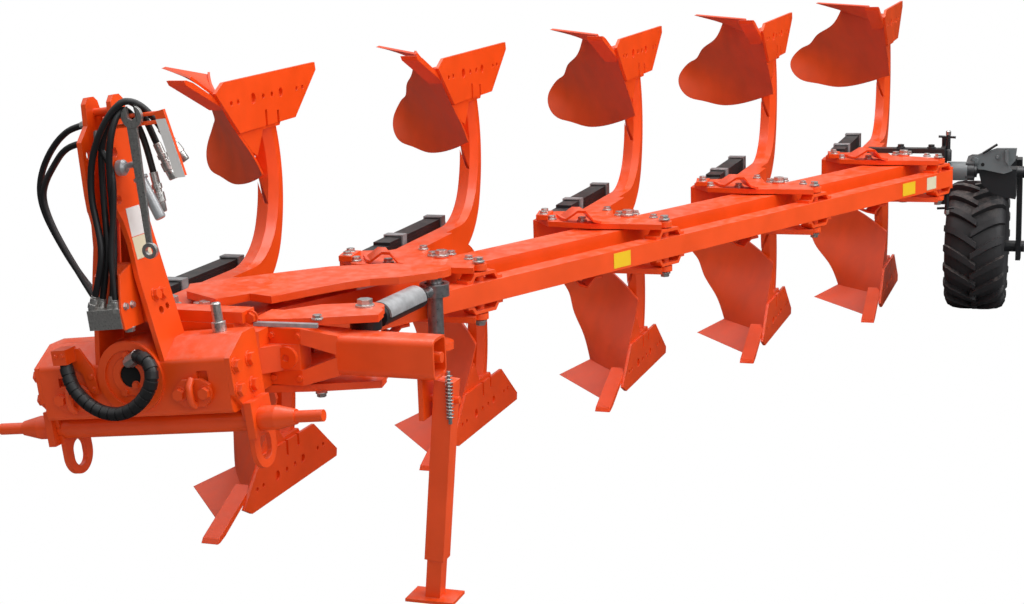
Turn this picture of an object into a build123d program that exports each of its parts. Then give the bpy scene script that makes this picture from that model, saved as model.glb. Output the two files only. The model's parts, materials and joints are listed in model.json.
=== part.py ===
from build123d import *
import os
from math import atan2, cos, hypot, radians, sin, tan

# Reversible five-body moldboard plough, parked on its stand, point tips and depth wheel.
# X points forward to the tractor, Y to the driver's left, Z up. All sizes are millimetres.
# The plough is modelled about the turnover axis, which runs along X at height zero, and is
# moved down onto its base box at the end of this file. Whatever works below the beam is
# mirrored above it, because the plough turns over at each headland.

os.makedirs("parts", exist_ok=True)

# ---------------------------------------------------------------- driving dimensions
BODY_COUNT = 5
FURROW_WIDTH = 453.0          # cut of one body, across the travel direction
BODY_PITCH = 952.6            # from one body to the next, along the travel direction
GROUND = -820.0               # underside of points, wheel and stand, below the turnover axis
SHEET_GAP = 0.3               # seat between a curved face and what carries it
MOVING_GAP = 5.0              # least room between bodies that move past each other
PIN_PLAY = 0.5                # radial play of a hinge pin

# beam and link bar, in beam coordinates: s runs back along the beam, o across it to the front left
BEAM_FRONT_FACE = 20.0
BEAM_WIDTH = 175.0
BEAM_HEIGHT = 150.0
BEAM_WALL = 10.0
BEAM_TAIL = 110.0             # beyond the last leg pivot
LINK_OFFSET = 195.0           # link bar pivots ahead of the beam pivots
LINK_SIZE = 80.0
LINK_TAIL = 70.0
PIVOT_S = 258.0               # first leg pivot
SWING_S = 110.0               # main swing pivot, where the beam hangs on the front frame

# pins
SWING_PIN_R = 32.0
LEG_PIN_R = 28.0
LINK_PIN_R = 16.0
CYLINDER_PIN_R = 28.0

# leg bracket
COLLAR_R = 41.0               # beam's collar round the swing pin
COLLAR_ROOM = 24.0            # between the collar and the first bracket, for the swing
PLATE = 22.0                  # thickness of the bracket plates
PLATE_RISE = MOVING_GAP       # bracket plates above the beam

# legs and bottoms
ARM_START = -420.0            # front end of the leg's arm, against the bracket block
ARM_HALF_HEIGHT = 95.0
LEG_FACE = -117.0             # outer face of the frog, carries the landside
LEG_SIDE = -132.0             # left side of the leg
LEG_THICK = 68.0
LEG_BEVEL = 24.0              # width of the leg's bevelled front edge
LEG_BEVEL_BACK = 40.0         # and how far the bevel reaches back
# front and rear edges of the leg's lower half in side view (x, z), in pairs of arcs
LEG_FRONT = [(-1105, -600), (-1150, -420), (-1116, -240), (-1040, -140), (-900, -ARM_HALF_HEIGHT)]
LEG_REAR = [(-1030, 0), (-1130, -75), (-1187, -180), (-1222, -390), (-1190, -600)]
LANDSIDE_THICK = 12.0
BOARD_THICK = 9.0
SHARE_THICK = 12.0
POINT_WIDTH = 66.0
POINT_THICK = 16.0

# front frame
WALL_FRONT = 25.0
WALL_REAR = -5.0
FRAME_PLATE = 24.0
FRAME_TOP = 131.0
SHAFT_R = 85.0
SHAFT_BORE_R = 36.0

# headstock, in its own frame about the turnover axis
HEAD_REAR = 40.0
HEAD_FRONT = 221.0
HEAD_TILT = 6.0               # roll of the headstock about the turnover axis, as parked
HEAD_Y = 51.0                 # turnover axis, to the left of the beam's origin
HEAD_HALF = 325.0
CROSS_X = 128.0
CROSS_Z = -169.0
CROSS_R = 37.5
HITCH_PIN_R = 18.3            # category 3 lower hitch pins
HITCH_SHOULDER = 482.5        # half of 965 mm between the shoulders
HITCH_PIN_LENGTH = 90.0
TOP_LINK_R = 16.0             # category 3 top link pin
TOP_LINK_X = 181.0
TOP_LINK_Z = 628.0

# vario cylinder
CYLINDER_Z = 68.0
BARREL_R = 38.0
ROD_R = 20.0
BARREL_LENGTH = 300.0
EYE_DRIFT = 7.0               # room in the rod's eye, because the linkage is open there

# depth wheel
TYRE_R = 345.0
TYRE_WIDTH = 310.0
RIM_R = 152.0
WHEEL_BACK = 974.6            # wheel's middle behind the last body's origin
WHEEL_Y = 2180.0
SWING_BACK = 459.6            # axis of the wheel's arm behind the same origin
AXLE_R = 30.0

# parking stand
STAND_X = -254.0
STAND_TOP_Y = 885.0
STAND_FOOT_Y = 812.0
STAND_TOP_Z = -85.0
STAND_HINGE_Z = -150.0
STAND_TUBE = 64.0
CHEEK_INSET = 72.0             # from the stand's middle to the cheek's inner face
STAND_WALL = 6.0
FOOT_THICK = 10.0

# ---------------------------------------------------------------- places worked out from them
BEAM_ANGLE = atan2(FURROW_WIDTH, BODY_PITCH)
STEP = hypot(FURROW_WIDTH, BODY_PITCH)
BEAM_PLANE = Plane(origin=(0, 0, 0), x_dir=(cos(BEAM_ANGLE), -sin(BEAM_ANGLE), 0), z_dir=(0, 0, 1))
BEAM_CENTRE = BEAM_FRONT_FACE - BEAM_WIDTH / 2
LINK_CENTRE = BEAM_CENTRE + LINK_OFFSET
HALF_BEAM = BEAM_HEIGHT / 2
PLATE_LOW = HALF_BEAM + PLATE_RISE
PLATE_HIGH = PLATE_LOW + PLATE
LINK_TOP = LINK_SIZE / 2
CLAMP_TOP = PLATE_LOW - MOVING_GAP


def on_beam(s, o):
    """Point of the plough frame at a distance s along the beam and o across it."""
    return (-s * cos(BEAM_ANGLE) + o * sin(BEAM_ANGLE), s * sin(BEAM_ANGLE) + o * cos(BEAM_ANGLE))


WHEEL_X = -(BODY_COUNT - 1) * BODY_PITCH - WHEEL_BACK
SWING_AXIS_X = -(BODY_COUNT - 1) * BODY_PITCH - SWING_BACK
SWING_PIVOT = on_beam(SWING_S, BEAM_CENTRE)
LINK_ANCHOR = on_beam(SWING_S, LINK_CENTRE)
LEG_PIVOT = on_beam(PIVOT_S, BEAM_CENTRE)
LINK_PIVOT = on_beam(PIVOT_S, LINK_CENTRE)


def body_shift(index):
    """Move of body number index from the first body."""
    return Pos(-index * BODY_PITCH, index * FURROW_WIDTH, 0)


# ---------------------------------------------------------------- shape helpers
def block(x0, x1, y0, y1, z0, z1):
    """Box between two corners."""
    return Pos((x0 + x1) / 2, (y0 + y1) / 2, (z0 + z1) / 2) * Box(abs(x1 - x0), abs(y1 - y0), abs(z1 - z0))


def flat(points, z0, z1):
    """Plate with its outline in plan, between two heights."""
    face = Face(Wire.make_polygon([(x, y, z0) for x, y in points], close=True))
    return extrude(face, amount=z1 - z0, dir=(0, 0, 1))


def upright(points, y0, y1):
    """Plate with its outline in side view (x, z), between two places across."""
    face = Face(Wire.make_polygon([(x, y0, z) for x, z in points], close=True))
    return extrude(face, amount=y1 - y0, dir=(0, 1, 0))


def facing(points, x0, x1):
    """Plate with its outline in front view (y, z), between two places along."""
    face = Face(Wire.make_polygon([(x0, y, z) for y, z in points], close=True))
    return extrude(face, amount=x1 - x0, dir=(1, 0, 0))


def rod(start, end, radius):
    """Round bar from one point to another."""
    axis = Vector(*end) - Vector(*start)
    return Plane(origin=start, z_dir=axis) * Pos(0, 0, axis.length / 2) * Cylinder(radius, axis.length)


def post(place, radius, z0, z1):
    """Upright round bar at a place in plan."""
    return rod((place[0], place[1], z0), (place[0], place[1], z1), radius)


def above_and_below(shape):
    """A shape and its mirror image below the turnover axis."""
    return [shape, shape.mirror(Plane.XY)]


def mirrored(points):
    """A half outline and its mirror image across the middle, as one closed outline."""
    return points + [(-y, z) for y, z in reversed(points)]


def joined(shapes):
    """One shape fused from several."""
    result = shapes[0]
    for shape in shapes[1:]:
        result = result + shape
    return result


PARTS = {}


def keep(node, *shapes):
    """Store the solids of one node."""
    solids = []
    for shape in shapes:
        solids += list(shape.solids())
    PARTS[node] = Compound(solids) if len(solids) > 1 else solids[0]


# ---------------------------------------------------------------- plough bottoms
# Surface of the lower moldboard. Each row is a level line: height, where it starts on the
# landside edge, and its angle to the travel direction, in degrees.
BOARD_ROWS = [
    (-790.0, -668.0, 29.0),
    (-690.0, -760.0, 33.0),
    (-600.0, -850.0, 34.5),
    (-520.0, -940.0, 36.0),
    (-448.0, -1007.0, 38.5),
    (-380.0, -1050.0, 41.5),
    (-300.0, -1080.0, 44.5),
]
BOARD_EDGE_Y = -112.0
BOARD_REACH = 1250.0
# Outline of the board in the plane of its upper level lines: (distance from the shin, depth)
BOARD_PLANE_ANGLE = 40.0
BOARD_SHIN = [(0, 432), (-300, 432), (-300, 714), (-180, 726), (331, 787), (331, 763)]
BOARD_WING = [(331, 763), (420, 700), (735, 600), (850, 550), (990, 511), (1085, 440), (960, 353), (750, 331),
              (560, 324), (387, 345), (162, 395), (0, 432)]
SHARE_WING = (-1055.0, -518.0, GROUND + 6)
SHARE_BACK = (-1194.0, -404.0, -761.0)
SHARE_NOSE = (-665.0, LEG_FACE - POINT_WIDTH, GROUND + 6)
SHARE_HEEL = (-860.0, LEG_FACE - POINT_WIDTH, -712.0)
POINT_TIP = (-512.0, -815.0)          # x, z of the point's cutting edge
POINT_TAIL = (-790.0, -690.0)
LANDSIDE = [(-700, -757), (-862, -600), (-1309, -606), (-1506, -767), (-1500, -797), (-760, -790)]
LANDSIDE_SLOTS = [(-1070.0, 16.0, 62.0), (-1165.0, 16.0, 50.0)]      # x, width, depth
LANDSIDE_HOLES = [(-810, 9), (-860, 9), (-975, 20), (-1055, 10), (-1125, 10), (-1195, 17),
                  (-1330, 9), (-1380, 9)]                            # x, radius
LANDSIDE_HOLE_Z = -712.0


def level_strip(row, near, far, reach=BOARD_REACH, start=-60.0):
    """Closed level outline of the board's body: near and far are measured behind its face."""
    height, edge_x, angle = row
    along = Vector(-cos(radians(angle)), -sin(radians(angle)))
    behind = Vector(-sin(radians(angle)), cos(radians(angle)))
    base = Vector(edge_x, BOARD_EDGE_Y)
    corners = [base + along * start + behind * near, base + along * reach + behind * near,
               base + along * reach + behind * far, base + along * start + behind * far]
    return Wire.make_polygon([(c.X, c.Y, height) for c in corners], close=True)


def board_layer(near, far):
    """Layer of the board's curved sweep, between two depths behind its face."""
    return Solid.make_loft([level_strip(row, near, far) for row in BOARD_ROWS], False)


def board_prism():
    """Upright block with the board's outline, square to its upper level lines."""
    angle = radians(BOARD_PLANE_ANGLE)
    along = (-cos(angle), -sin(angle))
    square = (sin(angle), -cos(angle), 0)
    shin_x = BOARD_ROWS[4][1]

    def placed(outline):
        return [(shin_x + w * along[0] - 900 * square[0], BOARD_EDGE_Y + w * along[1] - 900 * square[1], -depth)
                for w, depth in outline]

    shin = placed(BOARD_SHIN)
    edges = [Edge.make_line(start, end) for start, end in zip(shin, shin[1:])]
    edges.append(Edge.make_spline(placed(BOARD_WING)))
    return extrude(Face(Wire(edges)), amount=1800, dir=square)


def lower_moldboard():
    """Curved sheet that turns the furrow slice."""
    board = board_layer(0, BOARD_THICK) & board_prism()
    board = board & block(-3000, 0, -3000, LEG_FACE, -900, 0)
    board = board - lower_share() - lower_point()
    return board.solids().sort_by(SortBy.VOLUME)[-1]


def quad_loft(first, second):
    """Solid between two four-cornered ends."""
    return Solid.make_loft([Wire.make_polygon(first, close=True), Wire.make_polygon(second, close=True)], True)


def lower_share():
    """Flat cutting blade under the moldboard."""
    ends = []
    for edge, back in ((SHARE_WING, SHARE_BACK), (SHARE_NOSE, SHARE_HEEL)):
        edge = Vector(*edge)
        back = Vector(*back) + Vector(0, 0, -6)
        level = Vector(back.X - edge.X, back.Y - edge.Y, 0).normalized()
        ends.append([edge, back, back - Vector(0, 0, SHARE_THICK), edge + level * 16 - Vector(0, 0, 5)])
    return quad_loft(*ends)


def lower_point():
    """Reversible bar point ahead of the share."""
    tip_x, tip_z = POINT_TIP
    tail_x, tail_z = POINT_TAIL
    outline = [(tip_x, tip_z - 5), (tip_x - 14, tip_z + 12), (tail_x, tail_z), (tail_x - 6, tail_z - POINT_THICK),
               (tip_x - 60, GROUND + 12), (tip_x - 18, GROUND)]
    return upright(outline, LEG_FACE - POINT_WIDTH, LEG_FACE)


def lower_landside():
    """Bar plate that runs along the furrow wall, with slots in its upper edge."""
    plate = upright(LANDSIDE, LEG_FACE, LEG_FACE + LANDSIDE_THICK)
    top = LANDSIDE[1][1]
    for x, width, depth in LANDSIDE_SLOTS:
        plate = plate - block(x - width / 2, x + width / 2, LEG_FACE - 5, LEG_FACE + LANDSIDE_THICK + 5,
                              top - depth, top + 20)
    for x, radius in LANDSIDE_HOLES:
        plate = plate - rod((x, LEG_FACE - 5, LANDSIDE_HOLE_Z), (x, LEG_FACE + LANDSIDE_THICK + 5, LANDSIDE_HOLE_Z), radius)
    return plate


def leg_half_outline(cut=0.0):
    """Side view of the lower half of the leg with its arm; cut moves its front edge back."""
    front = [(x - cut, 0, z) for x, z in LEG_FRONT]
    rear = [(x, 0, z) for x, z in LEG_REAR]
    edges = [
        Edge.make_line((ARM_START, 0, 0), rear[0]),
        Edge.make_three_point_arc(*rear[0:3]),
        Edge.make_three_point_arc(*rear[2:5]),
        Edge.make_line(rear[4], front[0]),
        Edge.make_three_point_arc(*front[0:3]),
        Edge.make_three_point_arc(*front[2:5]),
        Edge.make_line(front[4], (ARM_START, 0, -ARM_HALF_HEIGHT)),
        Edge.make_line((ARM_START, 0, -ARM_HALF_HEIGHT), (ARM_START, 0, 0)),
    ]
    return Wire(edges)


def lower_leg_half():
    """Half of the curved leg with its bevelled front, and the frog that carries the bottom."""
    inner = LEG_SIDE - LEG_THICK
    bevel = LEG_SIDE - LEG_BEVEL
    leg = extrude(Pos(0, inner, 0) * Face(leg_half_outline()), amount=bevel - inner, dir=(0, 1, 0))
    leg = leg + Solid.make_loft([leg_half_outline().moved(Location((0, bevel, 0))),
                                 leg_half_outline(LEG_BEVEL_BACK).moved(Location((0, LEG_SIDE, 0)))], True)
    frog_outline = [(-1195, -590), (-1060, -590), (-1005, -500), (-880, -560), (-740, -745), (-1230, -745), (-1230, -640)]
    frog = upright(frog_outline, inner, LEG_FACE)
    behind = board_layer(BOARD_THICK + SHEET_GAP, 420)
    frog = frog & behind
    return leg - board_layer(0, BOARD_THICK + SHEET_GAP) + frog - lower_share() - lower_point()


# ---------------------------------------------------------------- one body set
SPRING_FRONT = -335.0
SPRING_REAR = -1170.0
SPRING_Y = -284.0             # left side of the spring packs
SPRING_WIDTH = 70.0
SPRING_INNER = 8.0            # from the middle to a pack's inner leaf
SPRING_TOP = 92.0
SPRING_STEP_X = -560.0        # where the outer leaves reach their full height
BRACKET_PLAN = [
    (-97, 235), (-90, 60), (-75, -52), (-103, -243), (-215, -330), (-330, -330), (-365, -200),
    (-420, -160), (-420, -60), (-276, -14), (-205, 205),
]
BRACKET_BLOCK = [(-225, -330), (-225, -135), (-330, -82), (-420, -45), (-420, -205), (SPRING_FRONT, -262),
                 (SPRING_FRONT, -354), (-240, -354)]
BRACKET_TIP_R = 30.0          # round end of the bracket plate on the link bar's pin


def bracket(index):
    """Plates above and below the beam with the block behind it, on the leg's pivot pin."""
    plates = []
    for side in (1, -1):
        lows = sorted((side * PLATE_LOW, side * PLATE_HIGH))
        past = sorted((side * (PLATE_LOW - 5), side * (PLATE_HIGH + 5)))
        plate = flat(BRACKET_PLAN, *lows) + post(LINK_PIVOT, BRACKET_TIP_R, *lows)
        plate = plate - post(LINK_PIVOT, LINK_PIN_R + PIN_PLAY, *past)
        if index == 0:
            plate = plate - post(SWING_PIVOT, COLLAR_R + COLLAR_ROOM, *past)
        plates.append(plate)
    core = flat(BRACKET_BLOCK, -PLATE_LOW, PLATE_LOW)
    pin = post(LEG_PIVOT, LEG_PIN_R, -PLATE_HIGH - 8, PLATE_HIGH + 8)
    return joined([plates[0], plates[1], core, pin])


def leg(index):
    """Upper and lower leg in one piece, with the arms that reach into the bracket."""
    low = lower_leg_half()
    arms = block(-780, ARM_START, LEG_SIDE - LEG_THICK + 10, LEG_FACE + 12, -ARM_HALF_HEIGHT, ARM_HALF_HEIGHT)
    return joined([low, low.mirror(Plane.XY), arms])


def spring_pack():
    """Long leaf spring pack beside the leg's arm, with the clip round its rear end."""
    outline = [(SPRING_FRONT, SPRING_INNER), (SPRING_FRONT, SPRING_TOP - 24), (SPRING_STEP_X, SPRING_TOP),
               (SPRING_REAR, SPRING_TOP - 6), (SPRING_REAR, SPRING_INNER)]
    pack = upright(outline, SPRING_Y - SPRING_WIDTH, SPRING_Y)
    clip = block(SPRING_REAR - 8, SPRING_REAR + 22, SPRING_Y - SPRING_WIDTH - 6, SPRING_Y + 6, SPRING_INNER - 4, SPRING_TOP + 4)
    return joined([pack, clip])


FORE = {"board": lower_moldboard(), "share": lower_share(), "point": lower_point(), "landside": lower_landside()}
for index in range(BODY_COUNT):
    place = body_shift(index)
    number = index + 1
    keep(f"leg_bracket_{number}", place * bracket(index))
    keep(f"leg_{number}", place * leg(index))
    keep(f"leaf_springs_{number}", *[place * s for s in above_and_below(spring_pack())])
    keep(f"moldboards_{number}", *[place * s for s in above_and_below(FORE["board"])])
    keep(f"shares_{number}", *[place * s for s in above_and_below(FORE["share"]) + above_and_below(FORE["point"])])
    keep(f"landsides_{number}", *[place * s for s in above_and_below(FORE["landside"])])

# ---------------------------------------------------------------- beam and link bar
BEAM_NOSE = 62.0              # radius of the beam's rounded front end
LAST_S = PIVOT_S + (BODY_COUNT - 1) * STEP
FRAME_LOW = FRAME_TOP - FRAME_PLATE


def beam_box(s0, s1, o0, o1, z0, z1):
    """Box in beam coordinates."""
    return BEAM_PLANE * block(-s1, -s0, o0, o1, z0, z1)


def beam():
    """Rectangular tube with a solid nose and bored bosses for its pivots."""
    back_face = BEAM_FRONT_FACE - BEAM_WIDTH
    tail = LAST_S + BEAM_TAIL
    tube = beam_box(SWING_S, tail, back_face, BEAM_FRONT_FACE, -HALF_BEAM, HALF_BEAM)
    tube = tube + post(SWING_PIVOT, BEAM_NOSE, -HALF_BEAM, HALF_BEAM)
    corner_cut = beam_box(SWING_S - BEAM_WIDTH, SWING_S + 40, back_face - 5, back_face + 26, -HALF_BEAM - 5, HALF_BEAM + 5)
    tube = tube - corner_cut
    hollow = beam_box(SWING_S + 90, tail - BEAM_WALL, back_face + BEAM_WALL, BEAM_FRONT_FACE - BEAM_WALL,
                      -HALF_BEAM + BEAM_WALL, HALF_BEAM - BEAM_WALL)
    tube = tube - hollow
    for index in range(BODY_COUNT):
        place = on_beam(PIVOT_S + index * STEP, BEAM_CENTRE)
        tube = tube + post(place, LEG_PIN_R + 16, -HALF_BEAM, HALF_BEAM)
        tube = tube - post(place, LEG_PIN_R + PIN_PLAY, -HALF_BEAM - 5, HALF_BEAM + 5)
    collar_top = FRAME_LOW - MOVING_GAP
    tube = tube + post(SWING_PIVOT, COLLAR_R, -collar_top, collar_top)
    return tube - post(SWING_PIVOT, SWING_PIN_R + PIN_PLAY, -collar_top - 5, collar_top + 5)


HUMP_FOOT = 70.0              # half length of a link clamp's raised stretch at its foot
HUMP_PLATE = 12.0
HUMP_WIDTH = 60.0


def link_clamp(s):
    """Bent strap over a bracket ear, bolted down on the link bar."""
    foot = LINK_TOP
    top = CLAMP_TOP
    crown = top - HUMP_PLATE
    outline = [(-HUMP_FOOT - 18, foot), (-HUMP_FOOT + 8, foot), (-HUMP_FOOT + 24, crown), (HUMP_FOOT - 24, crown),
               (HUMP_FOOT - 8, foot), (HUMP_FOOT + 18, foot), (HUMP_FOOT + 18, foot + HUMP_PLATE),
               (HUMP_FOOT - 2, foot + HUMP_PLATE), (HUMP_FOOT - 18, top), (-HUMP_FOOT + 18, top),
               (-HUMP_FOOT + 2, foot + HUMP_PLATE), (-HUMP_FOOT - 18, foot + HUMP_PLATE)]
    strap = upright(outline, LINK_CENTRE - HUMP_WIDTH / 2, LINK_CENTRE + HUMP_WIDTH / 2)
    return BEAM_PLANE * Pos(-s, 0, 0) * strap


def link_bar():
    """Square bar that keeps the legs in line with the travel direction."""
    bar = beam_box(SWING_S, LAST_S + LINK_TAIL, LINK_CENTRE - LINK_SIZE / 2, LINK_CENTRE + LINK_SIZE / 2, -LINK_TOP, LINK_TOP)
    bar = bar + post(LINK_ANCHOR, LINK_SIZE / 2 - 4, -LINK_TOP, LINK_TOP)
    bar = bar - post(LINK_ANCHOR, LINK_PIN_R + PIN_PLAY, -LINK_TOP - 5, LINK_TOP + 5)
    clamps = []
    for index in range(BODY_COUNT):
        s = PIVOT_S + index * STEP
        clamps += above_and_below(link_clamp(s))
        bar = bar + post(on_beam(s, LINK_CENTRE), LINK_PIN_R, -PLATE_HIGH - 4, PLATE_HIGH + 4)
    return joined([bar] + clamps)


# arms of the vario cylinder: plates fixed above and below the beam
ARM_PLATE_LOW = 118.0
ARM_PLATE_HIGH = 143.0
ROD_PIN = (-835.0, 622.0)
BARREL_PIN = (-329.0, 584.0)
ARM_PLAN = [
    (-240, 96), (-338, 170), (-310, 262), (-453, 345), (-558, 412), (-627, 473), (-672, 560), (-778, 660),
    (-892, 600), (-890, 430), (-800, 245), (-620, 60), (-440, -110), (-330, -60),
]


def beam_arm(side):
    """Plate on spacers above or below the beam that reaches forward to the rod's pin."""
    lows = sorted((side * ARM_PLATE_LOW, side * ARM_PLATE_HIGH))
    plate = flat(ARM_PLAN, *lows) + post(ROD_PIN, 60, *lows)
    spacers = []
    for s in (585, 700, 815):
        spacers.append(beam_box(s - 45, s + 45, BEAM_CENTRE - 45, BEAM_CENTRE + 45,
                                *sorted((side * HALF_BEAM, side * ARM_PLATE_LOW))))
    return joined([plate] + spacers)


keep("beam", beam())
keep("link_bar", link_bar())
keep("beam_arms", beam_arm(1), beam_arm(-1))
keep("cylinder_rod_pin", post(ROD_PIN, CYLINDER_PIN_R, -ARM_PLATE_LOW, ARM_PLATE_LOW))

# ---------------------------------------------------------------- front frame
CASTING_TOP = [
    (WALL_FRONT, -110), (WALL_FRONT, 300), (-60, 330), (-70, 210), (-195, 30), (-195, -60), (-130, -100),
]
SIDE_ARM = [(-20, 224), (WALL_FRONT, 224), (WALL_FRONT, 300), (-95, 400), (-105, 455), (-175, 455), (-235, 430),
            (-235, 345), (-105, 270)]
ARM_HALF = 95.0
BOSS_HALF = 42.0
BOSS_Y = 413.0
BOSS_X = -105.0
FORK_START = 352.0
TUBE_X = -200.0
TUBE_END = 885.0
TUBE_WIDE = 110.0
TUBE_HIGH = 130.0
TUBE_WALL = 9.0
ARM_B_PLAN = [(-95, 330), (-150, 500), (-229, 673), (-300, 660), (-392, 590), (-330, 428), (-235, 345), (-235, 300),
              (-110, 300)]


def front_casting():
    """Casting behind the headstock: turnover shaft, wall, pivot plates and side arm."""
    wall = block(WALL_REAR, WALL_FRONT, -130, 300, -FRAME_TOP, FRAME_TOP)
    plates = [flat(CASTING_TOP, *sorted((side * FRAME_LOW, side * FRAME_TOP))) for side in (1, -1)]
    plates = [p + post(SWING_PIVOT, 64, *sorted((side * FRAME_LOW, side * FRAME_TOP))) for p, side in zip(plates, (1, -1))]
    arm = flat(SIDE_ARM, -ARM_HALF, ARM_HALF)
    arm = arm - block(-300, 60, FORK_START, 500, BOSS_HALF, 200) - block(-300, 60, FORK_START, 500, -200, -BOSS_HALF)
    boss = rod((BOSS_X - 20, BOSS_Y, 0), (BOSS_X + 16, BOSS_Y, 0), 36) - rod((BOSS_X - 5, BOSS_Y, 0), (BOSS_X + 30, BOSS_Y, 0), 11)
    flange = rod((WALL_FRONT - 5, HEAD_Y, 0), (HEAD_REAR - MOVING_GAP, HEAD_Y, 0), 112)
    shaft = rod((WALL_FRONT - 5, HEAD_Y, 0), (HEAD_FRONT - 8, HEAD_Y, 0), SHAFT_R)
    swing_pin = post(SWING_PIVOT, SWING_PIN_R, -FRAME_TOP - 10, FRAME_TOP + 10)
    link_pin = post(LINK_ANCHOR, LINK_PIN_R, -FRAME_TOP, FRAME_TOP)
    top_bar = block(-60, WALL_FRONT - 5, -20, 330, FRAME_TOP, FRAME_TOP + 36)
    body = joined([wall, plates[0], plates[1], arm, boss, flange, shaft, swing_pin, link_pin, top_bar, top_bar.mirror(Plane.XY)])
    return body - rod((WALL_REAR - 5, HEAD_Y, 0), (HEAD_FRONT + 5, HEAD_Y, 0), SHAFT_BORE_R)


def fork_tube():
    """Tube across the front left, forked round the casting's block, with an open mouth."""
    merge = FORK_START + 215
    main = block(TUBE_X - TUBE_WIDE / 2, TUBE_X + TUBE_WIDE / 2, merge - 10, TUBE_END, -TUBE_HIGH / 2, TUBE_HIGH / 2)
    main = fillet(main.edges().filter_by(Axis.Y), 24)
    branches = []
    for side in (1, -1):
        near = [(-175, FORK_START, side * BOSS_HALF), (-105, FORK_START, side * BOSS_HALF), (-105, FORK_START, side * 92),
                (-175, FORK_START, side * 92)]
        low = side * 2
        high = side * (TUBE_HIGH / 2 - 1)
        far_x = (TUBE_X - TUBE_WIDE / 2 + 2, TUBE_X + TUBE_WIDE / 2 - 2)
        far = [(far_x[0], merge, low), (far_x[1], merge, low), (far_x[1], merge, high), (far_x[0], merge, high)]
        straight = [(x, FORK_START + 108, z) for x, y, z in near]
        branches.append(quad_loft(near, straight))
        branches.append(quad_loft(straight, far))
    tube = joined([main] + branches)
    bore = block(TUBE_X - TUBE_WIDE / 2 + TUBE_WALL, TUBE_X + TUBE_WIDE / 2 - TUBE_WALL, TUBE_END - 130, TUBE_END + 5,
                 -TUBE_HIGH / 2 + TUBE_WALL, TUBE_HIGH / 2 - TUBE_WALL)
    tube = tube - fillet(bore.edges().filter_by(Axis.Y), 15)
    spindle = rod((TUBE_X, TUBE_END - 150, 0), (TUBE_X, TUBE_END + 8, 0), 17)
    return tube + spindle


def cylinder_arm(side):
    """Plate above or below the side arm that carries the barrel's pin."""
    lows = sorted((side * ARM_HALF, side * (ARM_HALF + FRAME_PLATE)))
    return flat(ARM_B_PLAN, *lows) + post(BARREL_PIN, 62, *lows)


keep("front_casting", front_casting())
keep("fork_tube", fork_tube())
keep("cylinder_arms", cylinder_arm(1), cylinder_arm(-1))
keep("cylinder_barrel_pin", post(BARREL_PIN, CYLINDER_PIN_R, -ARM_HALF, ARM_HALF))

# ---------------------------------------------------------------- vario cylinder
CYLINDER_RUN = Vector(ROD_PIN[0] - BARREL_PIN[0], ROD_PIN[1] - BARREL_PIN[1])
CYLINDER_PLANE = Plane(origin=(BARREL_PIN[0], BARREL_PIN[1], CYLINDER_Z), x_dir=(CYLINDER_RUN.X, CYLINDER_RUN.Y, 0), z_dir=(0, 0, 1))
EYE_HEIGHT = 44.0
EYE_R = 52.0
GUARD_SHEET = 7.0
BARREL_START = 76.0           # from the pin to the barrel's closed end


def cylinder_barrel():
    """Barrel with its eye on the front frame's pin, bored for the rod."""
    eye = Cylinder(EYE_R, EYE_HEIGHT)
    neck = rod((0, 0, 0), (BARREL_START + 10, 0, 0), ROD_R)
    tube = rod((BARREL_START, 0, 0), (BARREL_START + BARREL_LENGTH, 0, 0), BARREL_R)
    barrel = joined([eye, neck, tube]) - Cylinder(CYLINDER_PIN_R + PIN_PLAY, EYE_HEIGHT + 10)
    barrel = barrel - rod((BARREL_START + 40, 0, 0), (BARREL_START + BARREL_LENGTH + 5, 0, 0), ROD_R + PIN_PLAY)
    return CYLINDER_PLANE * barrel


def cylinder_guard():
    """Bent sheet over the barrel's outer side."""
    outer = rod((BARREL_START + 20, 0, 0), (BARREL_START + BARREL_LENGTH - 20, 0, 0), BARREL_R + GUARD_SHEET)
    inner = rod((BARREL_START, 0, 0), (BARREL_START + BARREL_LENGTH, 0, 0), BARREL_R + SHEET_GAP)
    return CYLINDER_PLANE * ((outer - inner) & block(BARREL_START, BARREL_START + BARREL_LENGTH, -60, 60, -4, 60))


def cylinder_rod():
    """Rod with the eye that meets the beam arms' pin."""
    reach = CYLINDER_RUN.length
    eye = Pos(reach, 0, 0) * Cylinder(EYE_R, EYE_HEIGHT)
    rod_bar = rod((BARREL_START + 110, 0, 0), (reach - 20, 0, 0), ROD_R)
    piece = eye + rod_bar
    return CYLINDER_PLANE * (piece - Pos(reach, 0, 0) * Cylinder(CYLINDER_PIN_R + EYE_DRIFT, EYE_HEIGHT + 10))


keep("vario_barrel", cylinder_barrel())
keep("vario_barrel_guard", cylinder_guard())
keep("vario_rod", cylinder_rod())

# ---------------------------------------------------------------- headstock
HEAD_PLANE = Pos(0, HEAD_Y, 0) * Rot(HEAD_TILT, 0, 0)
HEAD_SIDE = [(HEAD_REAR, -118), (HEAD_REAR, 96), (120, 96), (HEAD_FRONT, 42), (HEAD_FRONT, -128), (170, -128), (150, -118)]
HITCH_PLATE_Y = 325.0
HITCH_PLATE = 16.0
HITCH_EYE = (85.0, -265.0)
HITCH_EYE_R = 34.0
HITCH_EYE_RISE = 10.0         # half of the straight stretch of the oval eye
HITCH_LOBE_R = 70.0
RING_R = 112.0                # bearing ring round the turnover shaft
CLAMP_THICK = 25.0


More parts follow.
